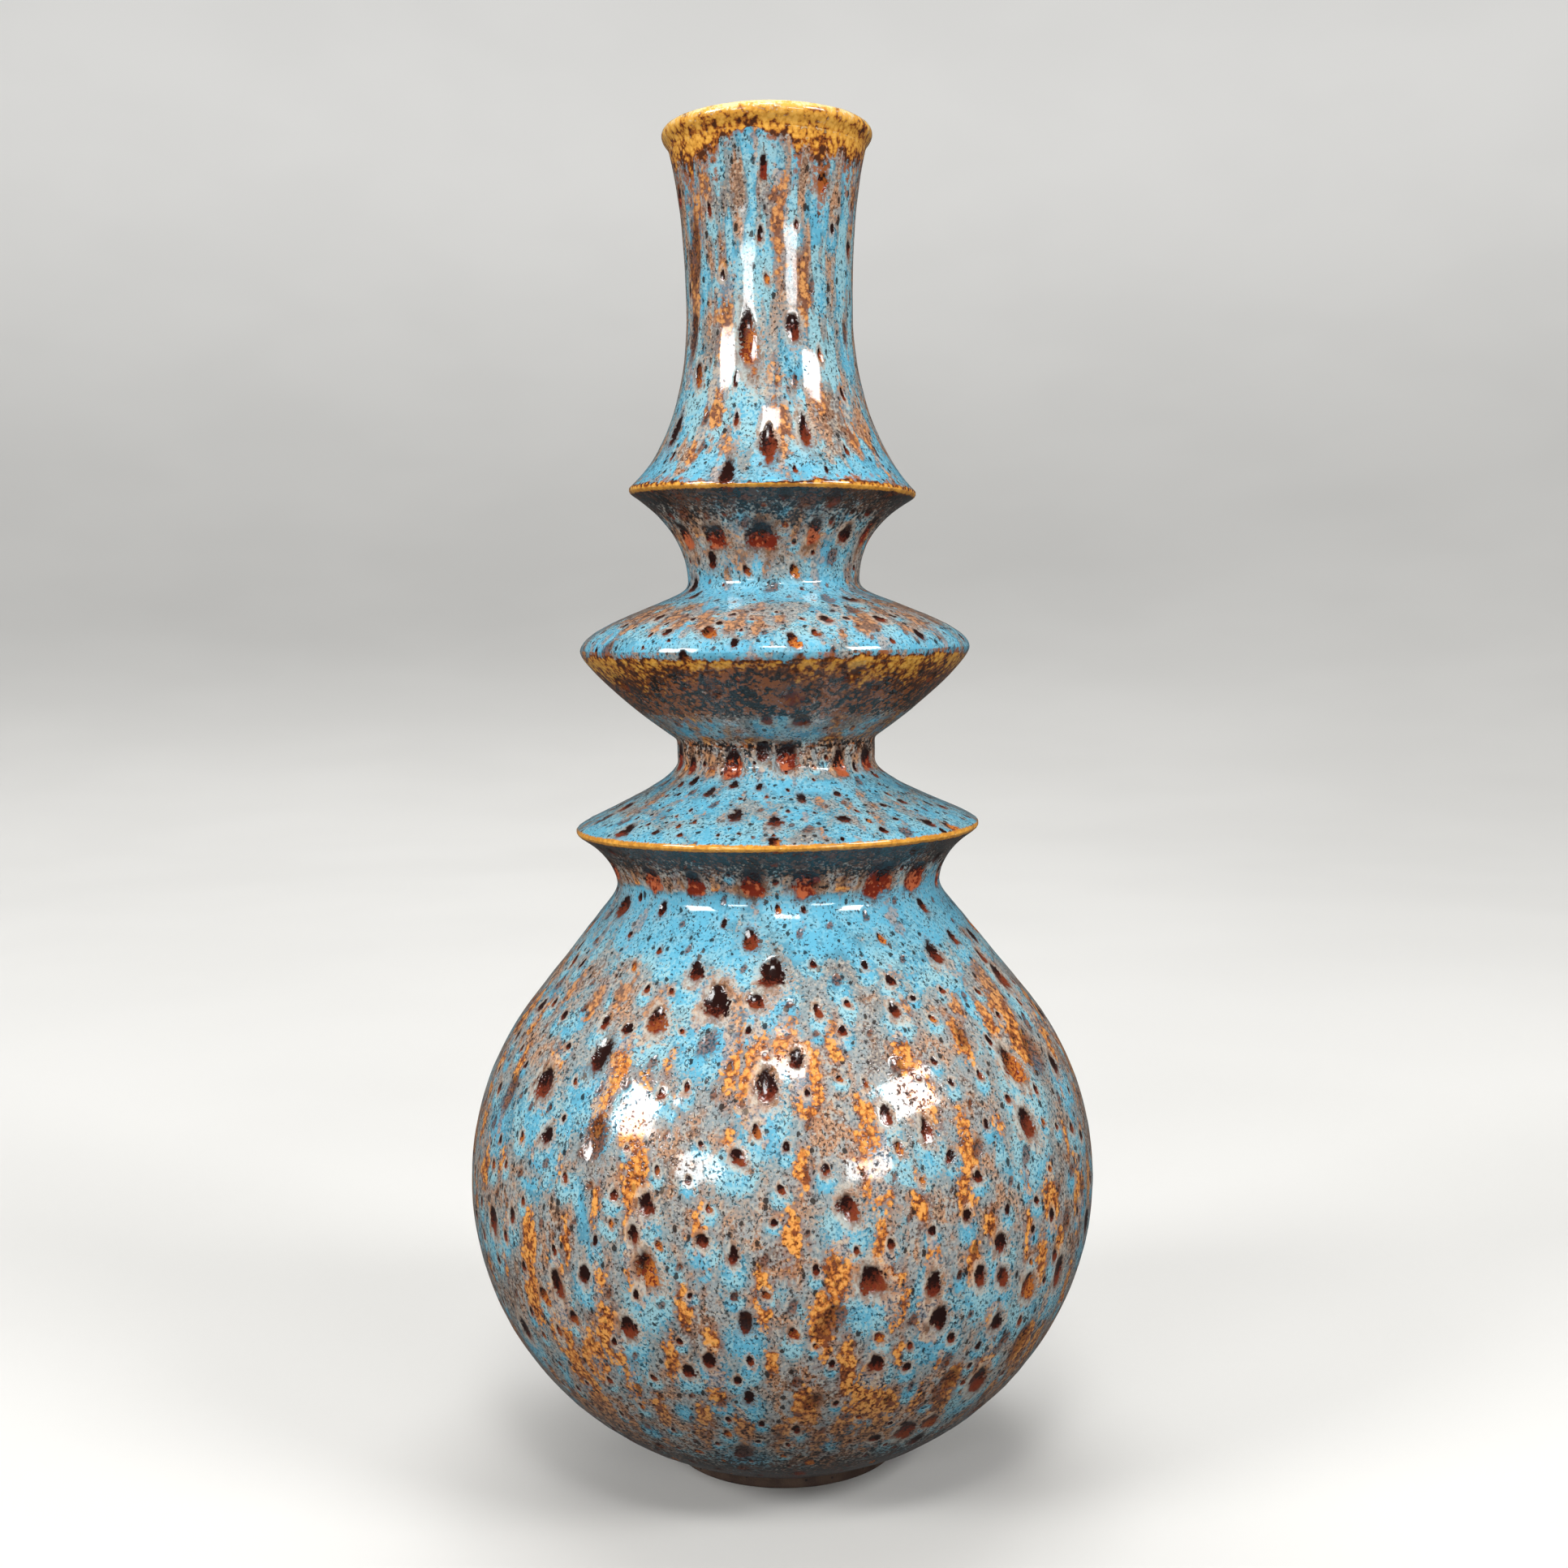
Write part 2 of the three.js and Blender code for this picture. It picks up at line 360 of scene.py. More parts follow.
@dataclass
class Marks:
    """Marks of one kind, one entry of each array per mark.

    Attributes:
        run: Place along the vase's whole outline.
        angle: Place round the axis.
        radius: Radius of the vase there.
        half_width: Half width of the mark.
        half_height: Half height of the mark.
        luck: A number that sets one mark apart from the next.
        reach: How far a mark is drawn, in its own half sizes.
    """

    run: np.ndarray
    angle: np.ndarray
    radius: np.ndarray
    half_width: np.ndarray
    half_height: np.ndarray
    luck: np.ndarray
    reach: float

    FAR: ClassVar[float] = 9.0

    def around(self, run: np.ndarray, angle: np.ndarray) -> tuple[np.ndarray, np.ndarray]:
        """Finds the nearest mark to each place on a surface.

        Args:
            run: Each place's run along the vase's whole outline.
            angle: Each place's angle round the axis.

        Returns:
            The nearest mark's index, or -1, and the distance to it in the mark's own half sizes.
        """
        order = np.argsort(run)
        sorted_run = run[order]
        sorted_angle = angle[order]
        nearest = np.full(len(run), self.reach)
        index = np.full(len(run), -1)
        tall = self.half_height * self.reach
        first = np.searchsorted(sorted_run, self.run - tall)
        last = np.searchsorted(sorted_run, self.run + tall)
        for i in range(len(self.run)):
            band = slice(first[i], last[i])
            across = wrapped(sorted_angle[band] - self.angle[i]) * (self.radius[i] / self.half_width[i])
            up = (sorted_run[band] - self.run[i]) / self.half_height[i]
            distance = np.hypot(across, up)
            closer = np.flatnonzero(distance < nearest[band])
            nearest[first[i] + closer] = distance[closer]
            index[first[i] + closer] = i
        found = np.empty_like(index)
        gap = np.empty_like(nearest)
        found[order] = index
        gap[order] = nearest
        return found, gap

    def frames(self, index: np.ndarray, run: np.ndarray, angle: np.ndarray) -> np.ndarray:
        """Places on a surface in the own frames of the marks that they belong to.

        Args:
            index: Each place's mark, or -1 for none.
            run: Each place's run.
            angle: Each place's angle.

        Returns:
            One row per place: across and up in half sizes, and the mark's luck.
        """
        across = wrapped(angle - self.angle[index]) * self.radius[index] / self.half_width[index]
        up = (run - self.run[index]) / self.half_height[index]
        rows = np.column_stack([across, up, self.luck[index]])
        rows[index < 0] = (self.FAR, self.FAR, 0.0)
        return rows


@dataclass(frozen=True)
class WindowRow:
    """A row of tall red windows where the glaze thins under a brim or at a waist.

    Attributes:
        section: The section that the row is on.
        share: Place of the row along that section's outline.
        count: How many windows go round.
        half_width: Half width of a window.
        half_height: Half height of a window.
        SEED: Seed of the random draws for all windows.
        LUCK: Middle of the windows' luck, which is over that of any pit.
        TURN: How far a window strays round the vase, as a share of the step to the next.
        RISE: How far it strays up or down.
        WIDER: How much its width varies, as a share.
        TALLER: How much its height varies, as a share.
    """

    section: str
    share: float
    count: int
    half_width: float
    half_height: float

    SEED: ClassVar[int] = 5
    LUCK: ClassVar[float] = 2.5
    TURN: ClassVar[float] = 0.5
    RISE: ClassVar[float] = 3 * MM
    WIDER: ClassVar[float] = 1.1
    TALLER: ClassVar[float] = 0.7


@dataclass(frozen=True)
class Handmade:
    """Small departures from a true turned shape.

    Attributes:
        wave: Height of the slow waves round a brim.
        wave_counts: How many of them go round, in each of two rounds.
        wave_phases: The phases of the lowest brim's waves.
        wave_shifts: How far each brim's phases are past those of the brim below.
        lean: How much higher each brim stands towards +X than at its middle, from the lowest brim up.
        band: How far from a brim its waves die away.
        out_of_round: Share by which the plan departs from a circle.
        twist: Height over which the plan's long axis turns by half a radian.
        ripple: Depth of the uneven skin of glaze.
        ripple_size: Size of its patches.
        dent: Depth of a pit whose half width is pit_size.
        pit_size: Half width of a usual pit.
        pit_depth_limit: Depth of the deepest pits, in dents.
        pit_bowl: How full a pit's bowl is: over one, it has a flat bottom.
        swell: Height of a bloom's thicker glaze.
    """

    wave: float = 0.14 * MM
    wave_counts: tuple[int, int] = (2, 3)
    wave_phases: Point = (0.6, 0.0)
    wave_shifts: Point = (1.3, 2.1)
    lean: tuple[float, ...] = (0.4 * MM, -0.1 * MM, -0.9 * MM, 0.0)
    band: float = 9 * MM
    out_of_round: float = 0.004
    twist: float = 60 * MM
    ripple: float = 0.08 * MM
    ripple_size: float = 7 * MM
    dent: float = 0.3 * MM
    pit_size: float = 1.5 * MM
    pit_depth_limit: float = 2.0
    pit_bowl: float = 1.2
    swell: float = 0.06 * MM

    def settle(self, places: np.ndarray, brims: list[Joint]) -> np.ndarray:
        """Lets the brims wave and the plan go slightly out of round.

        Args:
            places: Points of a piece, one per row.
            brims: The joints whose edges wave.

        Returns:
            The moved points.
        """
        angle = angles_of(places)
        moved = places.copy()
        for number, brim in enumerate(brims):
            near = np.exp(-(((places[:, 2] - brim.height) / self.band) ** 2))
            reach = np.hypot(places[:, 0], places[:, 1]) / brim.radius
            phases = np.array(self.wave_phases) + number * np.array(self.wave_shifts)
            waves = two_waves(angle, self.wave_counts, phases)
            moved[:, 2] += (self.wave * waves + self.lean[number] * np.cos(angle)) * near * reach
        oval = np.sin(2 * angle + places[:, 2] / self.twist)
        moved[:, :2] *= (1 + self.out_of_round * oval)[:, None]
        return moved


@dataclass
class ThrownSection:
    """One thrown section of the vase, glazed outside, with a wall of even thickness.

    Attributes:
        name: The piece's name, which is its CAD node's.
        foot: The joint below.
        head: The joint above.
        stands_for: The slip rings that the piece hides besides its own node.
        pool: How blue the glaze pools, as stops along the outline from foot to head. Below zero the glaze
            lies thinner, and is darkened as painted shade under the brims, on undersides and towards the
            foot.
        honey_foot: Width of the honey band at the foot.
        honey_head: Width of the honey band at the head.
        drip: Share by which the honey bands' width changes round the vase.
        mark_scale: Size of the glaze's marks, as stops along the outline from foot to head.
        mark_stretch: Height of the marks here, against those on the globe.
        mark_spread: Distance between the marks here, against those on the globe.
        turns: Faces round the axis.
        gap: Spacing of the rings of faces.
        wall: Thickness of the clay.
        slot: The record's material slot.
        start_run: Run along the vase's whole outline at the foot.
        skin: The sampled outside, as radius and height pairs.
        piece: The piece, once it is built.
        INNER_GAP: Spacing of the rings of faces inside.
        SHARP_ANGLE: The angle over which an edge stays sharp.
        NO_HONEY: What honey comes to where there is no band.
        GLAZED: What glazed comes to on the outside. It is zero inside.
        STREAKY: What it comes to on the outside of a section whose honey drips.
        DRIP_WAVES: How many waves of drips go round, in each of two rounds.
        DRIP_PHASES: The phase that each round starts at.
        FLOW: What each point carries for the finish.
        CARRIED: All that each point carries, first what the relief needs.
    """

    name: str
    foot: Joint
    head: Joint
    stands_for: tuple[str, ...] = ()
    pool: Stops = steady(0.0)
    honey_foot: float = 0.0
    honey_head: float = 0.0
    drip: float = 0.0
    mark_scale: Stops = steady(1.0)
    mark_stretch: float = 1.0
    mark_spread: float = 1.0
    turns: int = 400
    gap: float = 0.6 * MM
    wall: float = 4.5 * MM
    slot: Slot = Slot.MOTTLED
    start_run: float = 0.0
    skin: np.ndarray = field(init=False)
    piece: bpy.types.Object = field(init=False)

    INNER_GAP: ClassVar[float] = 4 * MM
    SHARP_ANGLE: ClassVar[float] = math.radians(50)
    NO_HONEY: ClassVar[float] = -4.0
    GLAZED: ClassVar[float] = 1.0
    STREAKY: ClassVar[float] = 2.0
    DRIP_WAVES: ClassVar[tuple[int, int]] = (3, 5)
    DRIP_PHASES: ClassVar[Point] = (3.5, 1.0)
    FLOW: ClassVar[tuple[str, ...]] = ("pool", "honey", "glazed")
    CARRIED: ClassVar[tuple[str, ...]] = ("run", "normal_r", "normal_z", *FLOW)

    def outline(self) -> Outline:
        """The section's outside, from the foot up."""
        raise NotImplementedError

    def lining(self) -> np.ndarray:
        """The section's inside, running down from the head to the foot."""
        coarse = self.outline().even(self.INNER_GAP)
        return inside(coarse, self.wall, self.foot.height, self.head.height)

    def draw(self, start_run: float) -> float:
        """Samples the outside and fixes where the section starts along the vase's outline.

        Args:
            start_run: The run at its foot.

        Returns:
            The run at its head.
        """
        self.start_run = start_run
        self.skin = self.outline().even(self.gap)
        return start_run + self.skin_runs()[-1]

    def skin_runs(self) -> np.ndarray:
        """Length along the sampled outside, from the section's own foot."""
        return lengths(self.skin)

    def along(self, stops: Stops) -> np.ndarray:
        """Spreads values along the sampled outside.

        Args:
            stops: Shares of the outline, from foot to head, and the values there.

        Returns:
            The value at each sampled point.
        """
        runs = self.skin_runs()
        shares, values = zip(*stops)
        return np.interp(runs / runs[-1], shares, values)

    def honey(self, runs: np.ndarray) -> np.ndarray:
        """How far each place lies inside a honey band.

        Args:
            runs: The places' runs from the section's own foot.

        Returns:
            One at the edge, zero where the band ends, and less outside it.
        """
        bands = np.full_like(runs, self.NO_HONEY)
        for width, away in ((self.honey_foot, runs), (self.honey_head, runs[-1] - runs)):
            if width > 0:
                bands = np.maximum(bands, 1 - away / width)
        return bands

    def profile(self) -> tuple[np.ndarray, dict[str, np.ndarray]]:
        """The closed loop that is turned, with what each of its points carries.

        Returns:
            Radius and height pairs, and one array for each of CARRIED.
        """
        lining = self.lining()
        runs = self.skin_runs()
        normals = outward(self.skin)
        normals[[0, -1]] = (1.0, 0.0)
        glazed = np.full(len(runs), self.STREAKY if self.drip else self.GLAZED)
        outside = (self.start_run + runs, *normals.T, self.along(self.pool), self.honey(runs), glazed)
        blank = np.zeros(len(lining))
        carried = {key: np.concatenate([column, blank]) for key, column in zip(self.CARRIED, outside)}
        return np.vstack([self.skin, lining]), carried

    def build(self) -> None:
        """Turns the profile into a closed piece."""
        loop, carried = self.profile()
        self.piece = add_circle(self.name, len(loop), self.head.radius, "NOTHING")
        mesh = self.piece.data
        places = np.column_stack([loop[:, 0], np.zeros(len(loop)), loop[:, 1]])
        mesh.vertices.foreach_set("co", places.ravel())
        for key, values in carried.items():
            mesh.attributes.new(key, "FLOAT", "POINT").data.foreach_set("value", values)
        turn = self.piece.modifiers.new("turn", "SCREW")
        turn.axis = "Z"
        turn.angle = math.tau
        turn.steps = turn.render_steps = self.turns
        turn.use_merge_vertices = True
        turn.merge_threshold = MERGE_GAP
        bpy.ops.object.modifier_apply(modifier=turn.name)
        bpy.ops.object.mode_set(mode="EDIT")
        bpy.ops.mesh.select_all(action="SELECT")
        bpy.ops.mesh.remove_doubles(threshold=MERGE_GAP)
        bpy.ops.mesh.delete_loose()
        bpy.ops.mesh.select_all(action="SELECT")
        bpy.ops.mesh.normals_make_consistent(inside=False)
        bpy.ops.object.mode_set(mode="OBJECT")
        mesh.name = self.name

    def carried(self, key: str) -> np.ndarray:
        """Reads what the piece's vertices carry.

        Args:
            key: One of CARRIED.

        Returns:
            One number per vertex.
        """
        values = np.zeros(len(self.piece.data.vertices), np.float32)
        self.piece.data.attributes[key].data.foreach_get("value", values)
        return values.astype(float)

    def places(self) -> np.ndarray:
        """Reads where the piece's vertices are.

        Returns:
            One row of X, Y and Z per vertex.
        """
        places = np.zeros(len(self.piece.data.vertices) * 3, np.float32)
        self.piece.data.vertices.foreach_get("co", places)
        return places.reshape(-1, 3).astype(float)

    def shape(self, hand: Handmade, marks: dict[Mark, Marks], brims: list[Joint]) -> None:
        """Gives the glaze its relief and the section its small irregularities.

        Args:
            hand: How far the piece departs from a true turned shape.
            marks: The vase's marks, by kind.
            brims: The joints whose edges wave.
        """
        places = self.places()
        run = self.carried("run")
        angle = angles_of(places)
        glazed = self.carried("glazed") > self.GLAZED / 2
        rise = np.zeros(len(places))
        rise[glazed] = [hand.ripple * noise.noise(Vector(p) / hand.ripple_size) for p in places[glazed]]
        pits = marks[Mark.PIT]
        index, gap = pits.around(run[glazed], angle[glazed])
        depth = hand.dent * np.minimum(pits.half_width[index] / hand.pit_size, hand.pit_depth_limit)
        rise[glazed] -= depth * np.clip(hand.pit_bowl - gap**2, 0, 1) ** 2
        swollen = marks[Mark.BLOOM].around(run[glazed], angle[glazed])[1]
        rise[glazed] += hand.swell * np.clip(1 - swollen**2, 0, 1)
        out = self.carried("normal_r") * rise
        places[:, 0] += out * np.cos(angle)
        places[:, 1] += out * np.sin(angle)
        places[:, 2] += self.carried("normal_z") * rise
        self.piece.data.vertices.foreach_set("co", hand.settle(places, brims).ravel())
        self.piece.data.update()

    def paint(self, marks: dict[Mark, Marks]) -> None:
        """Writes what the glaze's shader reads: the run of the glaze and each kind of mark's own frame.

        Args:
            marks: The vase's marks, by kind.
        """
        mesh = self.piece.data
        flow = np.column_stack([self.carried(key) for key in self.FLOW])
        places = self.places()
        vertex_angle = angles_of(places)
        waves = two_waves(vertex_angle, self.DRIP_WAVES, self.DRIP_PHASES)
        flow[:, 1] = 1 - (1 - flow[:, 1]) / (1 + self.drip * waves)
        mesh.attributes.new("flow", "FLOAT_VECTOR", "POINT").data.foreach_set("vector", flow.ravel())
        corner_vertex = np.zeros(len(mesh.loops), np.int32)
        mesh.loops.foreach_get("vertex_index", corner_vertex)
        first = np.zeros(len(mesh.polygons), np.int32)
        count = np.zeros(len(mesh.polygons), np.int32)
        mesh.polygons.foreach_get("loop_start", first)
        mesh.polygons.foreach_get("loop_total", count)
        corner_angle = vertex_angle[corner_vertex]
        corner_run = self.carried("run")[corner_vertex]
        centres = np.add.reduceat(places[corner_vertex], first) / count[:, None]
        face_angle = angles_of(centres)
        face_run = np.add.reduceat(corner_run, first) / count
        bare = np.minimum.reduceat(flow[corner_vertex, 2], first) < self.GLAZED / 2
        for kind, strewn in marks.items():
            index = strewn.around(face_run, face_angle)[0]
            index[bare] = -1
            rows = strewn.frames(np.repeat(index, count), corner_run, corner_angle)
            mesh.attributes.new(kind.value, "FLOAT_VECTOR", "CORNER").data.foreach_set("vector", rows.ravel())

    def dress(self, material: bpy.types.Material) -> None:
        """Finishes the piece and sets it in the part.

        Args:
            material: The finish.
        """
        mesh = self.piece.data
        for key in self.CARRIED:
            mesh.attributes.remove(mesh.attributes[key])
        mesh.materials.append(material)
        bpy.ops.object.select_all(action="DESELECT")
        self.piece.select_set(True)
        bpy.context.view_layer.objects.active = self.piece
        bpy.ops.object.shade_smooth_by_angle(angle=self.SHARP_ANGLE)
        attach(self.piece, BODY)
        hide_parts(self.name, *self.stands_for)
        LOG.info("%s: %d faces", self.name, len(mesh.polygons))


@dataclass
class FootRing(ThrownSection):
    """The low ring of bare clay that the vase stands on.

    Attributes:
        width: Width of the ring.
        edge: Radius of its eased edges.
    """

    width: float = 6 * MM
    edge: float = 0.8 * MM
    slot: Slot = Slot.CLAY

    def outline(self) -> Outline:
        """Draws the ring's underside and outside.

        Returns:
            The outline, from the bore's eased edge to the head.
        """
        outside = self.foot.radius
        bore = outside - self.width
        edge = self.edge
        return (
            Outline((bore + edge, 0.0))
            .line((outside - edge, 0.0))
            .arc((outside - edge, edge), (edge, edge), -QUARTER, 0.0)
            .line((outside, self.head.height))
        )

    def lining(self) -> np.ndarray:
        """The ring's bore, running down to its eased edge."""
        bore = self.foot.radius - self.width
        return np.array([[bore, self.head.height], [bore, self.edge]])

    def shape(self, hand: Handmade, marks: dict[Mark, Marks], brims: list[Joint]) -> None:
        """Leaves the ring as it was turned, because it is bare and stands flat."""

    def paint(self, marks: dict[Mark, Marks]) -> None:
        """Writes nothing, because bare clay has no marks."""


@dataclass
class LowerBowl(ThrownSection):
    """The lower half of the globe, with a flat floor.

    Attributes:
        floor: Thickness of the floor.
        seat: Radius of the flat that sits on the foot ring.
    """

    floor: float = 6 * MM
    seat: float = 30.5 * MM

    def outline(self) -> Outline:
        """Draws a stretch of an ellipse that is upright at the belly.

        Returns:
            The outline, from the seat to the belly.
        """
        angle = math.acos(self.seat / self.head.radius)
        depth = (self.head.height - self.foot.height) / math.sin(angle)
        start = (self.seat, self.foot.height)
        return Outline(start).arc((0.0, self.head.height), (self.head.radius, depth), -angle, 0.0)

    def lining(self) -> np.ndarray:
        """Draws the inside, the floor, and the underside.

        Returns:
            Radius and height pairs, from the belly back to the seat.
        """
        floor = self.foot.height + self.floor
        coarse = self.outline().even(self.INNER_GAP)
        wall = inside(coarse, self.wall, floor, self.head.height)
        inset = self.seat - self.gap
        return np.vstack([wall, [0.0, floor], [0.0, self.foot.height], [inset, self.foot.height]])


@dataclass
class UpperBowl(ThrownSection):
    """The upper half of the globe: a dome that runs off into a straight shoulder.

    Attributes:
        inset: How far inside the belly the straight shoulder starts.
        crease: Length of outline that pooled glaze rounds below the throat.
        upright: How far below the throat the shoulder's line would meet it without that glaze.
    """

    inset: float = 15.8 * MM
    crease: float = 5 * MM
    upright: float = 2.1 * MM

    def outline(self) -> Outline:
        """Draws a stretch of an ellipse, its straight tangent, and the fillet of glaze below the throat.

        Returns:
            The outline, from the belly to the throat.
        """
        belly = self.foot.radius
        height = self.head.height - self.upright - self.foot.height
        break_radius = belly - self.inset
        angle = math.acos(break_radius / belly)
        reach = break_radius - self.head.radius
        dome = belly * height * math.sin(angle) / (reach * math.cos(angle) + belly * math.sin(angle) ** 2)
        return (
            Outline(self.foot.off())
            .arc((0.0, self.foot.height), (belly, dome), 0.0, angle)
            .curve(self.head.off(up=-self.upright))
            .line(self.head.off())
            .ease_head(self.crease)
        )


@dataclass
class FlaredCollar(ThrownSection):
    """A hollow curve that turns out under a brim.

    Attributes:
        turn_height: Height of the curve's control point over the foot.
        lean: How far out that point lies.
        land: Height of the brim's edge on this side of the joint.
        edge: Length of outline that glaze rounds at the brim.
    """

    turn_height: float = 7 * MM
    lean: float = 1.5 * MM
    land: float = 0.7 * MM
    edge: float = 1.6 * MM

    def outline(self) -> Outline:
        """One curve from the foot out to the brim."""
        return (
            Outline(self.foot.off())
            .curve(self.foot.off(self.lean, self.turn_height), self.head.off(-self.land / 2, -self.land))
            .line(self.head.off())
            .ease_head(self.edge)
        )


@dataclass
class LowerSkirt(ThrownSection):
    """A flared cone with a rounded edge, drawn in to the upright lower waist.

    Attributes:
        land: Height of the brim's edge on this side of the joint.
        edge_round: Height of the curve's lower control point.
        edge_lean: How far in that point lies.
        turn_height: Height of its upper control point.
        waist: Height of the upright waist.
    """

    land: float = 0.7 * MM
    edge_round: float = 3.5 * MM
    edge_lean: float = 2.4 * MM
    turn_height: float = 11 * MM
    waist: float = 4.3 * MM

    def outline(self) -> Outline:
        """A short land, one curve to the waist, and the waist."""
        return (
            Outline(self.foot.off())
            .line(self.foot.off(up=self.land))
            .curve(
                self.foot.off(-self.edge_lean, self.edge_round),
                (self.head.radius, self.foot.height + self.turn_height),
                self.head.off(up=-self.waist),
            )
            .line(self.head.off())
        )


@dataclass
class SaucerUnderside(ThrownSection):
    """A shallow bowl that opens from the lower waist.

    Attributes:
        land: Height of the upright land at the waist.
        foot_reach: How far out the lower control point lies.
        foot_rise: How far up it lies.
        edge_reach: How far inside the edge the upper control point lies.
        edge_drop: How far below the edge it lies.
        rim: Height of the blunt edge below the joint.
        rim_slope: How steep that edge is.
        crease: Length of outline that pooled glaze rounds at the waist.
        edge: Length of outline that glaze rounds at the edge.
        roll: Width of the strip that the top's glaze covers as it rolls over the edge.
    """

    land: float = 1 * MM
    foot_reach: float = 6.7 * MM
    foot_rise: float = 4.5 * MM
    edge_reach: float = 5.2 * MM
    edge_drop: float = 8.2 * MM
    rim: float = 1.4 * MM
    rim_slope: float = 6.0
    crease: float = 1.6 * MM
    edge: float = 3.2 * MM
    roll: float = 2.4 * MM

    def outline(self) -> Outline:
        """A land, one curve out to the edge, and the blunt edge."""
        return (
            Outline(self.foot.off())
            .line(self.foot.off(up=self.land))
            .curve(
                self.foot.off(self.foot_reach, self.land + self.foot_rise),
                self.head.off(-self.edge_reach, -self.edge_drop),
                self.head.off(-self.rim / self.rim_slope, -self.rim),
            )
            .line(self.head.off())
            .ease_foot(self.crease)
            .ease_head(self.edge)
        )

    def honey(self, runs: np.ndarray) -> np.ndarray:
        """The honey band, which starts below the strip that the top's glaze covers."""
        return np.minimum(super().honey(runs), 2 * (runs[-1] - runs) / self.roll - 1)


@dataclass
class SaucerTop(ThrownSection):
    """A low dome that closes in to the upper waist.

    Attributes:
        dome_rise: How far up the lower control point lies.
        dome_lean: How far in it lies.
        spread: How far outside the waist the upper control point lies.
        spread_drop: How far below the waist it lies.
        crease: Length of outline that pooled glaze rounds at the waist.
        upright: How far below the waist the dome would meet it without that glaze.
    """

    dome_rise: float = 6.5 * MM
    dome_lean: float = 0.7 * MM
    spread: float = 1.6 * MM
    spread_drop: float = 4.4 * MM
    crease: float = 3.4 * MM
    upright: float = 1.2 * MM

    def outline(self) -> Outline:
        """One curve from the edge to the waist, and the fillet of glaze there."""
        return (
            Outline(self.foot.off())
            .curve(
                self.foot.off(-self.dome_lean, self.dome_rise),
                self.head.off(self.spread, -self.spread_drop),
                self.head.off(up=-self.upright),
            )
            .line(self.head.off())
            .ease_head(self.crease)
        )


@dataclass
class BellNeck(ThrownSection):
    """A bell that narrows from the upper brim and opens again towards the mouth.

    Attributes:
        land: Height of the brim's edge on this side of the joint.
        neck_radius: Radius at the narrowest place.
        bell_height: Height of that place over the brim.
        edge_reach: How far inside the brim the bell's lower control point lies.
        edge_rise: How far up it lies.
        turn_drop: How far below the narrowest place the upper one lies.
        flare_drop: How far below the mouth the flare's control point lies.
    """

    land: float = 0.7 * MM
    neck_radius: float = 20.2 * MM
    bell_height: float = 43.5 * MM
    edge_reach: float = 8 * MM
    edge_rise: float = 8 * MM
    turn_drop: float = 20 * MM
    flare_drop: float = 15 * MM

    def outline(self) -> Outline:
        """A short land, the bell, then the flare of the neck."""
        narrowest = self.foot.height + self.bell_height
        return (
            Outline(self.foot.off())
            .line(self.foot.off(up=self.land))
            .curve(
                self.foot.off(-self.edge_reach, self.edge_rise),
                (self.neck_radius, narrowest - self.turn_drop),
                (self.neck_radius, narrowest),
            )
            .curve((self.neck_radius, self.head.height - self.flare_drop), self.head.off())
        )


@dataclass
class MouthLip(ThrownSection):
    """A rolled ring that flares past the neck and is round on top.

    Attributes:
        bore: Radius of the mouth inside the lip.
        edge: Radius of the lip's two rounds.
        seat_rise: Height over which the lip leaves the neck as a tangent.
        seat_reach: How far out it goes in that height.
        crown: How far the lip lies inside the honey band, as stops along the outline.
    """

    bore: float = 19.3 * MM
    edge: float = 1.8 * MM
    seat_rise: float = 1.6 * MM
    seat_reach: float = 0.4 * MM
    crown: Stops = ((0.0, 0.8), (0.28, 0.95), (0.5, 1.36), (1.0, 1.3))
    drip: float = 0.1
    slot: Slot = Slot.HONEY

    def outline(self) -> Outline:
        """The flare, the outer round and the flat of the rim, to the start of the inner round."""
        top = self.head.height - self.edge
        return (
            Outline(self.foot.off())
            .curve(
                self.foot.off(self.seat_reach, self.seat_rise),
                (self.head.radius, top - self.seat_rise),
                (self.head.radius, top),
            )
            .arc((self.head.radius - self.edge, top), (self.edge, self.edge), 0.0, QUARTER)
            .line((self.bore + self.edge, self.head.height))
            .arc((self.bore + self.edge, top), (self.edge, self.edge), QUARTER, 2 * QUARTER)
        )

    def lining(self) -> np.ndarray:
        """The bore, running down to the joint."""
        top = self.head.height - self.edge
        return np.array([[self.bore, (top + self.foot.height) / 2], [self.bore, self.foot.height]])

    def honey(self, runs: np.ndarray) -> np.ndarray:
        """The whole lip lies in the honey band, and the glaze is thinnest on its crown."""
        return self.along(self.crown)


def math_operator(operation: str, swapped: bool = False) -> "Callable[..., Value]":
    """Makes an operator of Value.

    Args:
        operation: The operation of the Math node that it adds.
        swapped: Whether the value itself is the node's second input.

    Returns:
        The operator.
    """

    def apply(value: "Value", *others: "Value | float") -> "Value":
        """Adds the Math node.

        Args:
            value: The value whose operator it is.
            *others: The other inputs.

        Returns:
            The result.
        """
        inputs = (*others, value) if swapped else (value, *others)
        node = value.board.add("ShaderNodeMath", {"operation": operation}, dict(enumerate(inputs)))
        return Value(value.board, node.outputs[0])

    return apply


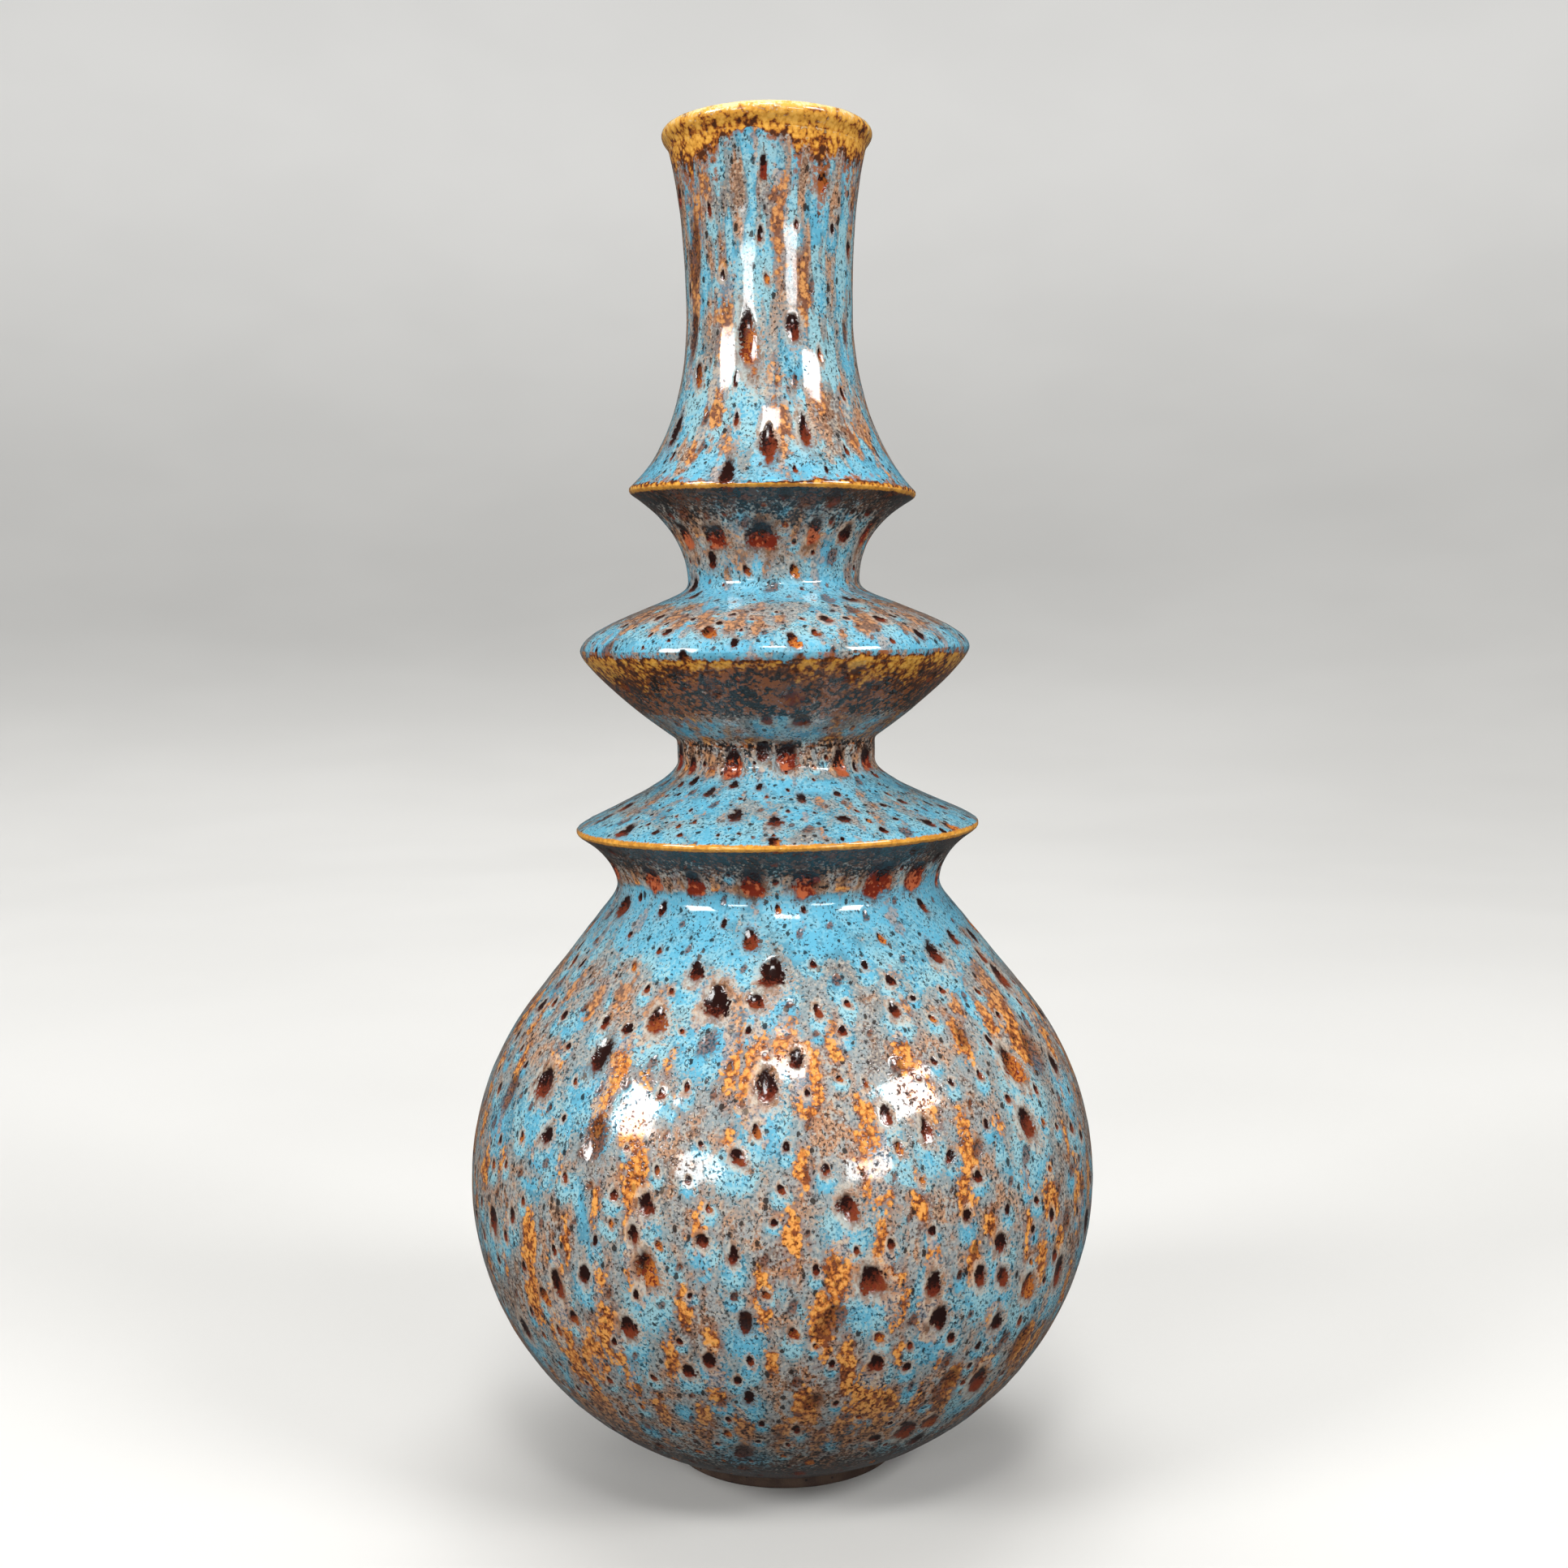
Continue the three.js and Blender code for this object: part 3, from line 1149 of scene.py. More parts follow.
class Value:
    """A number on a node board. Its operators add Math nodes."""

    def __init__(self, board: "NodeBoard", socket: Socket) -> None:
        """Wraps an output socket of a board."""
        self.board = board
        self.socket = socket

    __add__ = math_operator("ADD")
    __radd__ = math_operator("ADD", swapped=True)
    __sub__ = math_operator("SUBTRACT")
    __rsub__ = math_operator("SUBTRACT", swapped=True)
    __mul__ = math_operator("MULTIPLY")
    __rmul__ = math_operator("MULTIPLY", swapped=True)
    __rtruediv__ = math_operator("DIVIDE", swapped=True)
    __pow__ = math_operator("POWER")
    __abs__ = math_operator("ABSOLUTE")
    above = math_operator("GREATER_THAN")
    most = math_operator("MAXIMUM")

    @property
    def over_half(self) -> "Value":
        """How far a pattern lies over its middle, one half."""
        return self - 0.5

    @property
    def under_half(self) -> "Value":
        """How far a pattern lies under its middle, one half."""
        return 0.5 - self

    def ramp(self, start: float, end: float) -> "Value":
        """A smooth step.

        Args:
            start: The value where it is zero.
            end: The value where it is one, which may be the lesser.

        Returns:
            The step.
        """
        settings = {"interpolation_type": "SMOOTHSTEP"}
        node = self.board.add("ShaderNodeMapRange", settings, {"Value": self, 1: start, 2: end})
        return Value(self.board, node.outputs[0])


class NodeBoard:
    """A material's node tree, with short ways to add what the finishes need.

    FACTOR, BELOW, ABOVE and MIXED number the sockets of a colour Mix node, whose names aren't unique.
    """

    FACTOR: ClassVar[int] = 0
    BELOW: ClassVar[int] = 6
    ABOVE: ClassVar[int] = 7
    MIXED: ClassVar[int] = 2

    def __init__(self, name: str) -> None:
        """Makes an empty material."""
        self.material = bpy.data.materials.new(name)
        self.material.use_nodes = True
        self.tree = self.material.node_tree
        self.tree.nodes.clear()

    def add(self, kind: str, settings: dict[str, Any], sockets: dict[Any, Any]) -> bpy.types.Node:
        """Adds a node.

        Args:
            kind: The node's type.
            settings: Its properties, set before its sockets.
            sockets: A value or link for each named or numbered input.

        Returns:
            The node.
        """
        node = self.tree.nodes.new(kind)
        for key, value in settings.items():
            setattr(node, key, value)
        for key, value in sockets.items():
            if isinstance(value, Value):
                self.tree.links.new(value.socket, node.inputs[key])
            elif isinstance(value, Socket):
                self.tree.links.new(value, node.inputs[key])
            else:
                node.inputs[key].default_value = value
        return node

    def place(self, squeeze: tuple[float, float, float] = (1.0, 1.0, 1.0)) -> Socket:
        """Object coordinates in millimetres.

        Args:
            squeeze: Factors along X, Y and Z. Below one stretches a pattern along that axis.

        Returns:
            The vector socket.
        """
        coordinates = self.add("ShaderNodeTexCoord", {}, {}).outputs["Object"]
        factors = tuple(factor / MM for factor in squeeze)
        node = self.add("ShaderNodeVectorMath", {"operation": "MULTIPLY"}, {0: coordinates, 1: factors})
        return node.outputs[0]

    def attribute(self, name: str) -> tuple[Value, Value, Value]:
        """Reads a mesh attribute.

        Args:
            name: The attribute's name.

        Returns:
            Its three numbers.
        """
        vector = self.add("ShaderNodeAttribute", {"attribute_name": name}, {}).outputs["Vector"]
        parts = self.add("ShaderNodeSeparateXYZ", {}, {"Vector": vector}).outputs
        return Value(self, parts[0]), Value(self, parts[1]), Value(self, parts[2])

    def noise(self, place: Socket, size: float, detail: float = 2.0, distortion: float = 0.0) -> Value:
        """Soft noise.

        Args:
            place: Where it is read, in millimetres.
            size: Size of its patches, in millimetres.
            detail: Octaves of finer noise.
            distortion: How far it folds in on itself.

        Returns:
            The noise, around one half.
        """
        sockets = {"Vector": place, "Scale": 1 / size, "Detail": detail, "Distortion": distortion}
        return Value(self, self.add("ShaderNodeTexNoise", {}, sockets).outputs[0])

    def dots(self, place: Socket, spacing: float) -> tuple[Value, Value, Value, Value]:
        """Scattered dots.

        Args:
            place: Where they are read, in millimetres.
            spacing: Distance between dots, in millimetres.

        Returns:
            The distance to the nearest dot, in spacings, and three random numbers of its own.
        """
        node = self.add("ShaderNodeTexVoronoi", {}, {"Vector": place, "Scale": 1 / spacing})
        odds = self.add("ShaderNodeSeparateColor", {}, {0: node.outputs["Color"]}).outputs
        return Value(self, node.outputs["Distance"]), *(Value(self, chance) for chance in odds)

    def mix(self, share: Value | float, below: Socket | Colour, above: Socket | Colour) -> Socket:
        """Lays one colour over another.

        Args:
            share: How much of the upper colour shows.
            below: The colour underneath.
            above: The colour on top.

        Returns:
            The mixed colour.
        """
        sockets = {self.FACTOR: share, self.BELOW: below, self.ABOVE: above}
        return self.add("ShaderNodeMix", {"data_type": "RGBA"}, sockets).outputs[self.MIXED]

    def surface(
        self,
        colour: Socket,
        roughness: Value,
        relief: Value,
        depth: float,
        glow: Socket | None = None,
        **sockets: Any,
    ) -> None:
        """Ends the material in a Principled shader.

        Args:
            colour: Its base colour.
            roughness: Its roughness.
            relief: Height of its fine relief, from 0 to 1.
            depth: What that height comes to, in metres.
            glow: Light that it gives off.
            **sockets: Other constant sockets, by name.
        """
        bump = self.add("ShaderNodeBump", {}, {"Strength": 1.0, "Distance": depth, "Height": relief})
        linked = {"Base Color": colour, "Roughness": roughness, "Normal": bump.outputs[0]}
        if glow:
            linked["Emission Color"] = glow
        shader = self.add("ShaderNodeBsdfPrincipled", {}, linked)
        for name, value in sockets.items():
            shader.inputs[name.replace("_", " ")].default_value = value
        self.add("ShaderNodeOutputMaterial", {}, {"Surface": shader.outputs[0]})


@dataclass(frozen=True)
class Grain:
    """Patterns that the layers of the glaze share.

    Attributes:
        board: The node board.
        place: Object coordinates in millimetres.
        pool: How blue the glaze pools; below zero the glaze lies thinner and shade is painted.
        streaky: One where the glaze runs down in long streaks.
        region: Very slow noise, high where the amber gathers.
        cloud: Slow noise, high where the blue gathers.
        runs: Long upright streaks of noise.
        drift: Noise at the size of a mark.
        ripple: Noise at the size of a mark's ragged edge, stretched downhill.
        pepper: Noise at the size of a grain.
        nodule: Distance to the middle of the nearest nodule, in spacings.
        thin_and_shade: Where the glaze lies thinly over the dark clay, and where the same dark tone stands in
            as painted shade under the brims, on undersides and towards the foot.
    """

    board: NodeBoard
    place: Socket
    pool: Value
    streaky: Value
    region: Value
    cloud: Value
    runs: Value
    drift: Value
    ripple: Value
    pepper: Value
    nodule: Value
    thin_and_shade: Value

    def broken(self, depth: Value, ripple: float, pepper: float) -> Value:
        """Breaks up the edge of a mark, whose depth is over zero inside, by ripples and by grains."""
        return depth + self.ripple.over_half * ripple + self.pepper.over_half * pepper

    def depth_in(self, across: Value, up: Value) -> Value:
        """How deep a place lies in a round mark: one at its middle, zero at its edge."""
        return 1.0 - (across**2.0 + up**2.0) ** 0.5


@dataclass(frozen=True)
class RunningGlaze:
    """A reactive glaze: sky blue blooms and amber streaks over mauve grey, broken by dark pits.

    Its attributes are its colours, the sizes of its patterns in millimetres, and its surface: roughness at
    its smoothest, index of refraction, and depth of its fine relief in metres. Each layer is laid over the
    one below by the ramp of a pattern: the ramp's two numbers are where the layer starts and where it
    covers, and the factor after it is the greatest share that it covers.
    """

    sky: Colour = srgb(94, 174, 203)
    sky_deep: Colour = srgb(84, 144, 166)
    sky_pale: Colour = srgb(156, 200, 208)
    sky_dark: Colour = srgb(48, 84, 98)
    haze: Colour = srgb(126, 152, 158)
    mauve: Colour = srgb(150, 153, 152)
    dusk: Colour = srgb(116, 96, 84)
    salmon: Colour = srgb(180, 134, 102)
    pale: Colour = srgb(214, 193, 165)
    umber: Colour = srgb(66, 38, 26)
    # Dark clay through thin glaze, also used as painted shade under the brims, on undersides and towards the
    # foot.
    burnt_and_shade: Colour = srgb(20, 11, 8)
    scorch_and_shade: Colour = srgb(92, 56, 37)
    speck: Colour = srgb(24, 16, 16)
    rust: Colour = srgb(128, 66, 34)
    amber: Colour = srgb(204, 122, 50)
    gold: Colour = srgb(238, 168, 84)
    pit: Colour = srgb(32, 12, 9)
    pit_red: Colour = srgb(112, 44, 26)
    window: Colour = srgb(114, 37, 20)
    ember: Colour = srgb(188, 98, 60)
    halo: Colour = srgb(202, 190, 174)
    honey: Colour = srgb(226, 160, 64)
    honey_pale: Colour = srgb(248, 224, 168)
    honey_light: Colour = srgb(250, 190, 88)
    honey_deep: Colour = srgb(156, 84, 34)
    liner: Colour = srgb(88, 50, 22)
    region_size: float = 26.0
    cloud_size: float = 11.0
    drift_size: float = 4.5
    ripple_size: float = 1.8
    pepper_size: float = 0.7
    speck_size: float = 0.62
    dot_spacing: float = 2.4
    nodule_spacing: float = 1.5
    run_size: float = 3.2
    skin_size: float = 5.0
    smoothest: float = 0.06
    refraction: float = 1.5
    relief: float = 0.12 * MM

    def material(self) -> bpy.types.Material:
        """Builds the glaze's material.

        Returns:
            The material, which reads the attributes that ThrownSection.paint writes.
        """
        board = NodeBoard(Slot.MOTTLED.value)
        pool, honey, glazed = board.attribute("flow")
        grain = self.grain(board, pool, glazed.ramp(ThrownSection.GLAZED, ThrownSection.STREAKY))
        colour = self.ground(grain)
        colour, blue = self.blues(grain, colour)
        colour, amber = self.streaks(grain, colour, blue)
        colour = self.specks(grain, colour, amber)
        # Thin glaze, and painted shade under the brims, on undersides and towards the foot.
        colour = self.lumps_and_shade(grain, colour)
        colour, sunk = self.pits(grain, colour)
        colour = self.edges(grain, colour, honey)
        liner = board.mix(grain.drift.ramp(0.35, 0.7), self.liner, self.rust)
        colour = board.mix(glazed, liner, colour)
        roughness = self.smoothest + grain.drift * 0.05 + sunk * 0.03 + grain.thin_and_shade * 0.08
        skin = board.noise(grain.place, self.skin_size, 1.0) * 0.6 - sunk * 0.3 - grain.pepper * 0.03
        skin = skin - grain.nodule * grain.thin_and_shade * 0.9
        board.surface(colour, roughness, skin, self.relief, IOR=self.refraction)
        return board.material

    def grain(self, board: NodeBoard, pool: Value, streaky: Value) -> Grain:
        """Lays out the patterns that the layers share.

        Args:
            board: The material's node board.
            pool: How blue the glaze pools; below zero the glaze lies thinner and shade is painted.
            streaky: One where the glaze runs down in long streaks.

        Returns:
            The patterns.
        """
        place = board.place()
        region = board.noise(board.place((1.0, 1.0, 0.7)), self.region_size, 1.0)
        cloud = board.noise(board.place((1.0, 1.0, 0.6)), self.cloud_size, 3.0, 0.6)
        runs = board.noise(board.place((1.0, 1.0, 0.12)), self.run_size)
        drift = board.noise(place, self.drift_size, 2.0, 0.4)
        ripple = board.noise(board.place((1.0, 1.0, 0.45)), self.ripple_size)
        pepper = board.noise(place, self.pepper_size, 1.0)
        nodule = board.dots(place, self.nodule_spacing)[0] + pepper.over_half * 1.2 + ripple.over_half * 0.8
        # Dark where the pooling value falls below zero: thinner glaze and painted shade.
        thin_and_shade = (pool * -1.0 + ripple.over_half * 0.8 + pepper.over_half * 1.2).ramp(0.05, 0.5)
        return Grain(board, place, pool, streaky, region, cloud, runs, drift, ripple, pepper, nodule, thin_and_shade)

    def ground(self, grain: Grain) -> Socket:
        """Lays mauve grey and salmon that run into each other, with darker and paler grains.

        Args:
            grain: The shared patterns.

        Returns:
            The colour.
        """
        mix = grain.board.mix
        worn = grain.runs.under_half * grain.streaky * 2.0
        warm = grain.broken(grain.drift - grain.pool.most(0.0) * 0.5 + worn, 0.8, 0.5)
        tone = mix(warm.ramp(0.44, 0.58), self.mauve, self.salmon)
        tone = mix(grain.broken(0.45 - grain.cloud, 0.5, 0.5).ramp(-0.02, 0.1) * 0.6, tone, self.dusk)
        tone = mix(grain.pepper.ramp(0.54, 0.66) * 0.5, tone, self.umber)
        return mix(grain.pepper.ramp(0.46, 0.34) * 0.4, tone, self.pale)

    def blues(self, grain: Grain, below: Socket) -> tuple[Socket, Value]:
        """Lays blue where the glaze pools, and in blooms under the pits.

        Args:
            grain: The shared patterns.
            below: The colour underneath.

        Returns:
            The colour, and where it is blue.
        """
        mix = grain.board.mix
        across, up, luck = grain.board.attribute(Mark.BLOOM.value)
        pooled = grain.cloud + grain.runs.over_half * grain.streaky * 1.6 + grain.pool * 0.5 - 0.61
        depth = grain.depth_in(across, up) + grain.drift.over_half * 0.6
        depth = depth.most(pooled * 6.0) + grain.region.under_half * 1.2
        colour = mix(grain.broken(depth, 0.9, 1.4).ramp(-0.7, 0.1) * 0.6, below, self.haze)
        mask = grain.broken(depth, 0.7, 1.0).ramp(0.0, 0.25)
        heart = grain.broken(depth + up.ramp(0.5, -0.9) * 0.5, 0.6, 0.6).ramp(0.3, 1.0)
        tone = mix(heart, self.sky_deep, self.sky)
        light = luck * 0.3 + grain.drift + grain.runs.over_half * grain.streaky * 1.4
        light = grain.broken(light, 0.4, -1.0).ramp(0.5, 0.85)
        tone = mix(light * (0.9 - grain.pool.ramp(0.2, 0.5) * 0.5), tone, self.sky_pale)
        tone = mix(grain.broken(grain.drift, 0.4, 1.2).ramp(0.56, 0.74) * 0.4, tone, self.sky_dark)
        return mix(mask * 0.94, colour, tone), mask

    def streaks(self, grain: Grain, below: Socket, blue: Value) -> tuple[Socket, Value]:
        """Lays amber streaks of golden nodules in rust.

        Args:
            grain: The shared patterns.
            below: The colour underneath.
            blue: Where the glaze is blue.

        Returns:
            The colour, and where the streaks are.
        """
        mix = grain.board.mix
        across, up, luck = grain.board.attribute(Mark.STREAK.value)
        narrow = across + grain.drift.over_half * 2.0
        away = grain.pool.most(grain.pool * -1.0)
        depth = grain.depth_in(narrow, up) - away.ramp(0.1, 0.5) * 0.7
        depth = depth + grain.region.over_half * 3.5 + (0.55 - grain.nodule) * 0.8 + grain.streaky * 0.25
        mask = grain.broken(depth, 1.2, 0.8).ramp(-0.1, 0.15) * (1 - blue * 0.5)
        scorched = grain.broken(depth, 1.2, 1.2).ramp(-0.7, 0.0) * (1 - blue * 0.8)
        tone = mix(grain.nodule.ramp(0.72, 0.5), self.rust, self.amber)
        tone = mix((grain.nodule - luck * 0.15).ramp(0.42, 0.2) * 0.9, tone, self.gold)
        dull = mix(grain.nodule.ramp(0.62, 0.3), self.dusk, self.salmon)
        tone = mix(away.ramp(0.0, 0.12) * (0.85 - grain.streaky * 0.45), tone, dull)
        colour = mix(scorched * (0.3 + luck * 0.3), below, self.rust)
        return mix(mask * 0.95, colour, tone), mask

    def specks(self, grain: Grain, below: Socket, amber: Value) -> Socket:
        """Strews dark specks of every size, thickest away from the amber.

        Args:
            grain: The shared patterns.
            below: The colour underneath.
            amber: Where the amber streaks are.

        Returns:
            The colour.
        """
        fine = grain.board.noise(grain.board.place((1.1, 1.1, 0.8)), self.speck_size, 1.0)
        dot, chance, size, _ = grain.board.dots(grain.board.place((1.0, 1.0, 0.6)), self.dot_spacing)
        mask = (fine + grain.drift.over_half * 0.15).ramp(0.6, 0.67) * 0.8
        dots = (dot - size * 0.1 + grain.pepper.over_half * 0.4).ramp(0.2, 0.12) * chance.ramp(0.35, 0.4)
        return grain.board.mix(mask.most(dots * 0.9) * (1 - amber * 0.5), below, self.speck)

    def lumps_and_shade(self, grain: Grain, below: Socket) -> Socket:
        """Lets the dark clay through where the glaze lies thinly, in brown lumpy patches, and paints shade in
        the same dark tones under the brims, on undersides and towards the foot.

        Args:
            grain: The shared patterns.
            below: The colour underneath.

        Returns:
            The colour.
        """
        mix = grain.board.mix
        high = grain.drift * 2.0 - grain.nodule * 1.5 - 0.2
        tone = mix(high.ramp(-0.12, 0.3), self.burnt_and_shade, self.scorch_and_shade)
        tone = mix(high.ramp(0.06, 0.36) * grain.streaky, tone, self.honey_deep)
        # This same dark cover is painted shade where the brims, undersides and foot lie in shadow.
        return mix(grain.thin_and_shade * 0.95, below, tone)

    def pits(self, grain: Grain, below: Socket) -> tuple[Socket, Value]:
        """Sinks dark teardrop pits and tall red windows.

        Args:
            grain: The shared patterns.
            below: The colour underneath.

        Returns:
            The colour, and where they are sunk.
        """
        mix = grain.board.mix
        across, up, luck = grain.board.attribute(Mark.PIT.value)
        window = luck.above(WindowRow.LUCK - 1)
        lean = luck.over_half * (1 - window)
        drop = grain.broken(across * (1.0 + up * 0.16) + up * lean * 0.9, 1.5, 1.0)
        tall = up + grain.drift.over_half * 1.2
        square = 2.0 + window
        reach = (abs(drop) ** square + abs(tall) ** square) ** (1.0 / square)
        sunk = (reach + window * reach * 0.1 - window * 0.1).ramp(1.08, 0.8)
        haloed = luck.ramp(0.26, 0.4) * (1 - window * 0.3) * (1 - grain.pool.ramp(0.1, 0.4) * 0.8)
        rim = mix(grain.ripple.ramp(0.42, 0.6), self.halo, self.salmon)
        halo = grain.broken(reach, 0.0, 1.6).ramp(2.0, 1.3) * haloed * (1 - grain.thin_and_shade)
        colour = mix(halo * 0.7, below, rim)
        shadow = grain.broken(reach, 0.0, 1.6).ramp(1.4, 0.95)
        colour = mix(shadow * (0.5 + window * 0.15), colour, self.umber)
        glow = grain.broken(up * -0.7 + drop * lean + lean * 1.3, 0.8, 1.2).ramp(0.0, 0.8)
        inner = mix(glow, self.pit, self.pit_red)
        lit = glow * grain.pepper.ramp(0.6, 0.45)
        inner = mix(lit * luck.ramp(0.5, 0.8) * 0.5, inner, self.rust)
        inner = mix(lit * luck.ramp(0.85, 0.97) * 0.8, inner, self.amber)
        smudge = luck.ramp(0.32, 0.26)
        inner = mix(smudge * grain.pepper.ramp(0.58, 0.46), inner, self.rust)
        embers = grain.nodule.under_half * 1.4 - up * 0.4 + (luck - WindowRow.LUCK) * 0.8
        pane = mix(embers.ramp(-0.1, 0.5), self.window, self.ember)
        pane = mix(grain.broken(up, 2.0, 1.6).ramp(-0.15, 0.3), pane, self.pit)
        inner = mix(window, inner, pane)
        return mix(sunk * (1 - smudge * 0.45), colour, inner), sunk

    def edges(self, grain: Grain, below: Socket, honey: Value) -> Socket:
        """Breaks honey glaze along the brims, and lets it drip from the mouth and the saucer's edge.

        Args:
            grain: The shared patterns.
            below: The colour underneath.
            honey: How far each place lies inside a honey band.

        Returns:
            The colour.
        """
        mix = grain.board.mix
        dripping = grain.streaky
        drips = (honey * 0.5 + grain.runs.over_half * 4.0 + grain.pepper.over_half * 1.4).ramp(-0.5, 0.2)
        drips = drips * grain.nodule.ramp(0.75, 0.4) * dripping
        below = mix(drips * honey.ramp(-3.0, -0.5) * 0.9, below, self.honey_deep)
        fire = grain.drift.over_half * 1.6 + grain.runs.over_half + grain.nodule.under_half * 1.2
        fire = fire + (honey - 0.7) * 0.9 - 0.05
        tone = mix(fire.ramp(0.15, -0.3) * (dripping * 0.6 + 0.4), self.honey, self.honey_deep)
        tone = mix(fire.ramp(-0.2, -0.55) * dripping * 0.9, tone, self.umber)
        tone = mix(fire.ramp(0.2, 0.6) * (dripping * 0.4 + 0.4), tone, self.honey_light)
        crown = honey + grain.drift.over_half * 0.7 + grain.pepper.over_half * 0.8
        tone = mix(crown.ramp(1.02, 1.32) * 0.9, tone, self.honey_pale)
        edge = honey + grain.runs.over_half * (0.4 + dripping * 1.8) + grain.pepper.over_half * 0.8
        return mix(edge.ramp(0.1, 0.35), below, tone)


@dataclass(frozen=True)
class BareClay:
    """Unglazed stoneware with grog and iron specks, its tones darkened as painted shade for the ring that
    sits in shadow under the globe.

    Its attributes are its colours, the sizes of its patterns in millimetres, and its surface: roughness at
    its smoothest, and depth of its grain in metres.
    """

    # Darkened as painted shade: the ring sits in shadow under the globe.
    buff_in_shade: Colour = srgb(78, 60, 48)
    toasted_in_shade: Colour = srgb(56, 40, 32)
    iron: Colour = srgb(26, 18, 14)
    drift_size: float = 6.0
    grain_size: float = 0.5
    speck_spacing: float = 1.6
    smoothest: float = 0.75
    relief: float = 0.15 * MM

    def material(self) -> bpy.types.Material:
        """Builds the clay's material.

        Returns:
            The material.
        """
        board = NodeBoard(Slot.CLAY.value)
        place = board.place()
        drift = board.noise(place, self.drift_size, 3.0)
        grain = board.noise(place, self.grain_size, 3.0)
        near, chance, *_ = board.dots(place, self.speck_spacing)
        colour = board.mix(drift.ramp(0.35, 0.65), self.buff_in_shade, self.toasted_in_shade)
        colour = board.mix(near.ramp(0.25, 0.15) * chance.above(0.6), colour, self.iron)
        board.surface(colour, self.smoothest + grain * 0.2, grain, self.relief)
        return board.material


@dataclass(frozen=True)
class FloorPaint:
    """Matt pale paint of the studio floor, whose sweep is lit evenly from behind.

    Attributes:
        pale: Its colour.
        shade: Its colour where it is worn.
        glow: Colour of the light behind the sweep.
        glow_height: Height, in millimetres, where that light is at its full strength.
        wear_size: Size of the worn patches, in millimetres.
        smoothest: Its roughness at its smoothest.
    """

    pale: Colour = srgb(208, 207, 204)
    shade: Colour = srgb(204, 203, 200)
    glow: Colour = srgb(150, 150, 149)
    glow_height: float = 1400.0
    wear_size: float = 300.0
    smoothest: float = 0.8

    def material(self) -> bpy.types.Material:
        """Builds the floor's material.

        Returns:
            The material.
        """
        board = NodeBoard("floor_paint")
        place = board.place()
        wear = board.noise(place, self.wear_size)
        colour = board.mix(wear.ramp(0.3, 0.7), self.pale, self.shade)
        height = Value(board, board.add("ShaderNodeSeparateXYZ", {}, {"Vector": place}).outputs[2])
        glow = board.mix(height.ramp(0.0, self.glow_height), srgb(0, 0, 0), self.glow)
        board.surface(colour, self.smoothest + wear * 0.1, wear, 0.0, glow, Emission_Strength=1.0)
        return board.material


@dataclass(frozen=True)
class SoftBox:
    """A studio light.

    Attributes:
        name: Its name.
        place: Where it stands.
        aim: The point that it faces.
        size: Its width and height.
        power: Its power in watts.
        mirrored: Whether glossy surfaces show it.
    """

    name: str
    place: tuple[float, float, float]
    aim: tuple[float, float, float]
    size: tuple[float, float]
    power: float
    mirrored: bool = True

    def hang(self) -> None:
        """Adds the light."""
        bpy.ops.object.light_add(type="AREA", location=self.place)
        lamp = bpy.context.active_object
        lamp.name = self.name
        lamp.data.shape = "RECTANGLE"
        lamp.data.size, lamp.data.size_y = self.size
        lamp.data.energy = self.power
        lamp.visible_glossy = self.mirrored
        lamp.rotation_mode = "QUATERNION"
        lamp.rotation_quaternion = (Vector(self.aim) - Vector(self.place)).to_track_quat("-Z", "Y")


